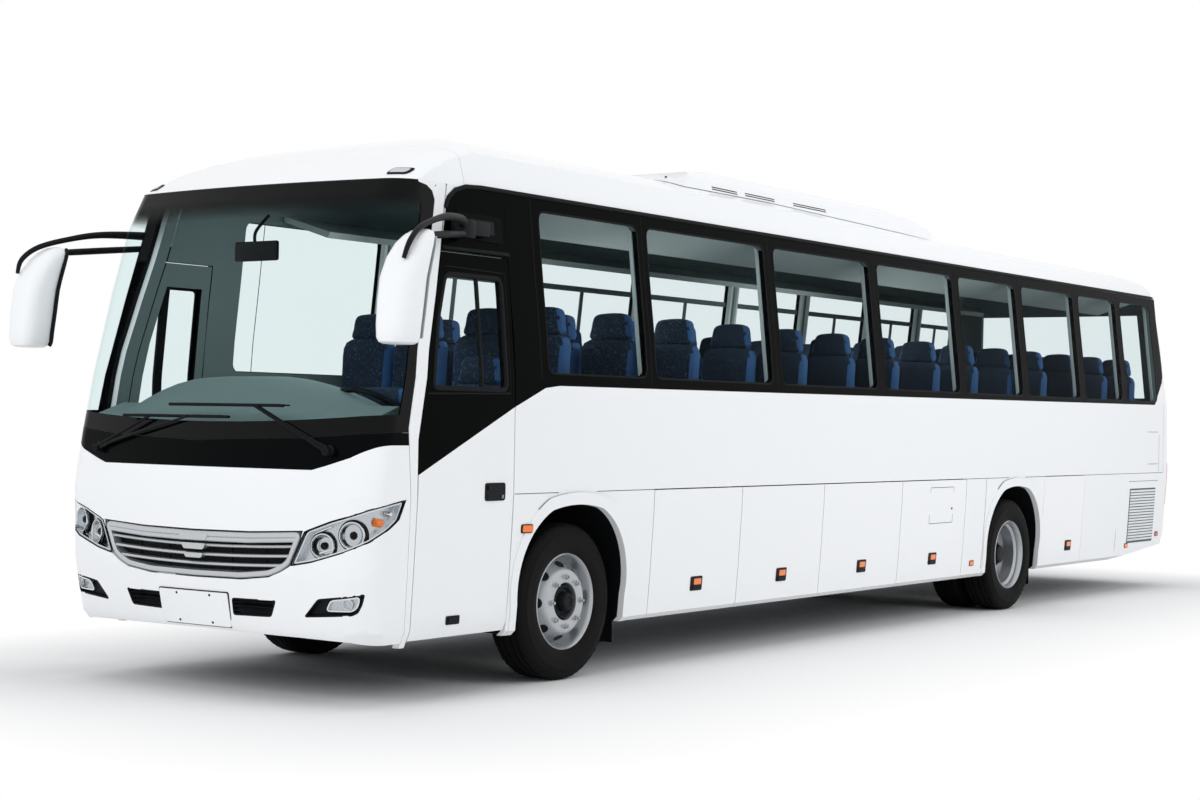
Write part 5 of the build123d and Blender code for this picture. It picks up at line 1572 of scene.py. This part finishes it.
# %% Rows of seats
def seat_master(bolsters):
    """The three pads joined; bolsters keeps only the faces at the sides, or only the others."""
    seat = Piece("seat", None, None)
    for name, pad in pads.items():
        half = SEAT_PADS[name]["size"][0] / 2
        chosen = [tuple(p.vertices) for p in pad.data.polygons
                  if (abs(p.normal.x) > 0.5 and abs(p.center.x) > half * 0.6) == bolsters]
        seat.add([v.co for v in pad.data.vertices], chosen)
    return seat


def loose_trim(master):
    """Drops the points that no face uses."""
    work = bmesh.new()
    work.from_mesh(master.data)
    bmesh.ops.delete(work, geom=[v for v in work.verts if not v.link_faces], context="VERTS")
    work.to_mesh(master.data)
    work.free()
    return master


FLOOR_Z, DRIVER_FLOOR_Z = 1.350, 1.020
SEAT_PITCH = 0.780
SEAT_BACK = 0.400  # from the point that a row is measured to, back to the seat's own origin
rows = {1: [-0.250 + SEAT_PITCH * i for i in range(14)], -1: [0.130 + SEAT_PITCH * i for i in range(13)]}
spots = {f"seats_{SIDE_NAME[hand]}": [(hand * x, FRONT_AXLE_Y + station + SEAT_BACK, FLOOR_Z)
                                      for station in rows[hand] for x in (0.900, 0.425)] for hand in (1, -1)}
spots["driver_seat"] = [(0.620, FRONT_AXLE_Y - 0.540 + SEAT_BACK, DRIVER_FLOOR_Z)]
for node, places in spots.items():
    for label, finish in (("pads", CLOTH), ("bolsters", EDGE_CLOTH)):
        master = loose_trim(seat_master(label == "bolsters").master())
        made = copies(f"{node}_{label}", ON_POINTS, "coach", "seat_cloth", finish, places,
                      Unit=master, Size=1.0)
        if label == "pads":
            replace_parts(made, node)
        bpy.data.objects.remove(master)
for pad in pads.values():
    bpy.data.objects.remove(pad)
print(sum(len(v) for v in spots.values()), "seats")

# %% [markdown]
# ## Saloon lining
#
# Through the tinted glass you see a dark arched ceiling, pale window pillars and, on the far side, the bars
# of the window blinds. Thin shells and bars are enough, as they are only seen from outside.

# %% Lining and pillars
# the vault takes the liner, darkened as painted shade of the saloon
lining = Piece("saloon_lining", "coach", "rack_grey", SHADE_DARKENED_LINER, TRIM)
arch = [(-1.045, 3.015), (-1.00, 3.09), (-0.88, 3.155), (-0.70, 3.195), (-0.40, 3.22), (0, 3.23)]
arch += [(-x, z) for x, z in reversed(arch[:-1])]
vault = arch + [(x, z + 0.006) for x, z in reversed(arch)]
lining.rings([[(x, FRONT_AXLE_Y + y, z) for x, z in vault] for y in (-0.95, 3.0, 6.5, 10.55)])
PILLAR = ((0, -0.024), (-0.030, -0.016), (-0.030, 0.016), (0, 0.024))
for hand in (1, -1):
    for front, rear in WINDOWS[hand]:
        for station in (rear + 0.012,) + ((front - 0.012,) if front > 0 else ()):
            behind = Vector((hand * 0.040, 0, 0))
            ends = [flank(hand)(station, height)[0] - behind for height in (1.96, 2.95)]
            lining.rings([[end + Vector((dx * hand, dy, 0)) for dx, dy in PILLAR] for end in ends], 1)
BAR_Z = 2.745
for front, rear in WINDOWS[-1][1:]:
    middle = (front + rear) / 2
    for a, b in (((front + 0.03, BAR_Z), (rear - 0.03, BAR_Z)), ((middle, 1.96), (middle, BAR_Z))):
        spots_on = [flank(-1)(u, v)[0] + Vector((0.022, 0, 0)) for u, v in (a, b)]
        wide = Vector((0, 0, 0.022)) if a[1] == b[1] else Vector((0, 0.018, 0))
        deep = Vector((0.014, 0, 0))
        lining.rings([[p - wide, p - wide + deep, p + wide + deep, p + wide] for p in spots_on], 0)
lining.done()

# %% [markdown]
# ## Cab
#
# A wide interior mirror hangs behind the windscreen. The dashboard's top is a padded skin that rises behind
# the glass: a dome laid over the CAD dashboard, high across the middle and falling away to the driver's
# side.

# %% Inside mirror
cab = Piece("cab_fittings", "coach", "dark_plastic", PLASTIC, MIRROR_GLASS)
hang_y = FRONT_AXLE_Y - 1.70
cab.block((-0.126, hang_y - 0.014, 2.580), (0.225, hang_y + 0.014, 2.700), 0, 0.012)
cab.block((-0.116, hang_y + 0.010, 2.590), (0.215, hang_y + 0.017, 2.690), 1, 0.003)
stalk = [(0.033, hang_y - 0.002, 2.69), (0.050, hang_y - 0.01, 2.76), (0.087, hang_y + 0.06, 2.86)]
cab.tube(stalk, 0.010, 0, 8, 4)
cab.done()

# %% Dashboard skin
DASH_HALF = 1.10
DASH_BACK = FRONT_AXLE_Y - 1.42
dash_top = Piece("dash_top", "coach", "dark_plastic", DASH)
sections = []
for i in range(33):
    x = DASH_HALF * (i / 16 - 1)
    crown = 0.290 * (1 - abs(x / DASH_HALF) ** (6.0 if x < 0 else 1.8)) + 0.004
    start = NOSE(x, 1.620)[0].y + 0.060
    hump = [(x, start + (DASH_BACK - start) * t / 8, 1.600 + crown * math.sin(t / 16 * math.pi))
            for t in range(9)]
    lip = DASH_BACK + 0.03
    sections.append(hump + [(x, lip, 1.590 + crown), (x, lip, 1.570), (x, start, 1.570)])
dash_top.rings(sections)
dash_top.done()

# %% [markdown]
# ## Roof unit and tail
#
# The roof unit has slots along its flank and joints in its cover. The tail carries segmented lamps, a
# handle on the engine lid, a grille of slats over the radiator and a high brake lamp.

# %% Roof unit details
roof_trim = Piece("roof_unit_trim", "coach", "black_gloss", PLASTIC, SEAM)
for hand in (1, -1):
    side = flank(hand)
    for front, rear, height in ((2.30, 2.66, 3.385), (2.78, 3.22, 3.385), (3.52, 4.05, 3.380)):
        for lift in (0.0, 0.016):
            slot = [(front, height + lift), (rear, height + lift - 0.004)]
            roof_trim.bar(slot, side, bead(0.004, -0.001, 0.002))
for station in (1.92, 3.35, 4.75, 5.95):
    roof_trim.strip([TOP(-0.62 + 1.24 * i / 16, station) for i in range(17)], LINE, 1)
for x in (-0.55, -0.2, 0.2, 0.55):
    for station in (2.02, 3.25, 4.65, 5.85):
        place, normal = TOP(x, station)
        roof_trim.turned([(0.010, 0.0), (0.010, 0.004), (0.006, 0.006), (0, 0.006)], place, normal, 0, 12)
roof_trim.done()

# %% Tail details
tail_trim = Piece("tail_trim", "coach", "red_lens", RED, AMBER, CHROME)
for hand in (1, -1):
    for low, high, kind in ((0.865, 0.965, 0), (0.985, 1.085, 1), (1.105, 1.195, 2), (1.215, 1.295, 0)):
        inner, outer = sorted((hand * 1.075, hand * 1.170))
        tail_trim.pad(box_outline(inner, outer, low, high, 0.015), TAIL, -0.004, 0.004, kind, 0.04)
    tail_trim.pad(box_outline(10.862, 10.925, 0.862, 1.300, 0.012), flank(hand), -0.003, 0.003, 0, 0.03)
tail_trim.pad(box_outline(-0.30, 0.30, 2.915, 2.945, 0.01), TAIL, -0.003, 0.008, 0, 0.06)
tail_trim.done()
lid_trim = Piece("lid_trim", "engine_lid_body", "black_gloss", PLASTIC, SEAM, WHITE)
lid_trim.pad(box_outline(-0.62, 0.62, 1.18, 1.46, 0.02), TAIL, -0.002, 0.002, 1, 0.1)
slat_section = [(-0.010, 0.001), (-0.004, 0.005), (0.004, 0.005), (0.006, 0.001)]
for row in range(9):
    height = 1.20 + 0.03 * row
    lid_trim.strip([TAIL(-0.60 + 1.20 * i / 16, height) for i in range(17)], slat_section)
lid_trim.pad(box_outline(-0.09, 0.09, 0.70, 0.76, 0.015), TAIL, -0.002, 0.008, 0, 0.05)
lid_trim.pad(box_outline(-0.26, 0.26, 0.86, 0.98, 0.012), TAIL, -0.002, 0.005, 2, 0.1)
lid_trim.done()
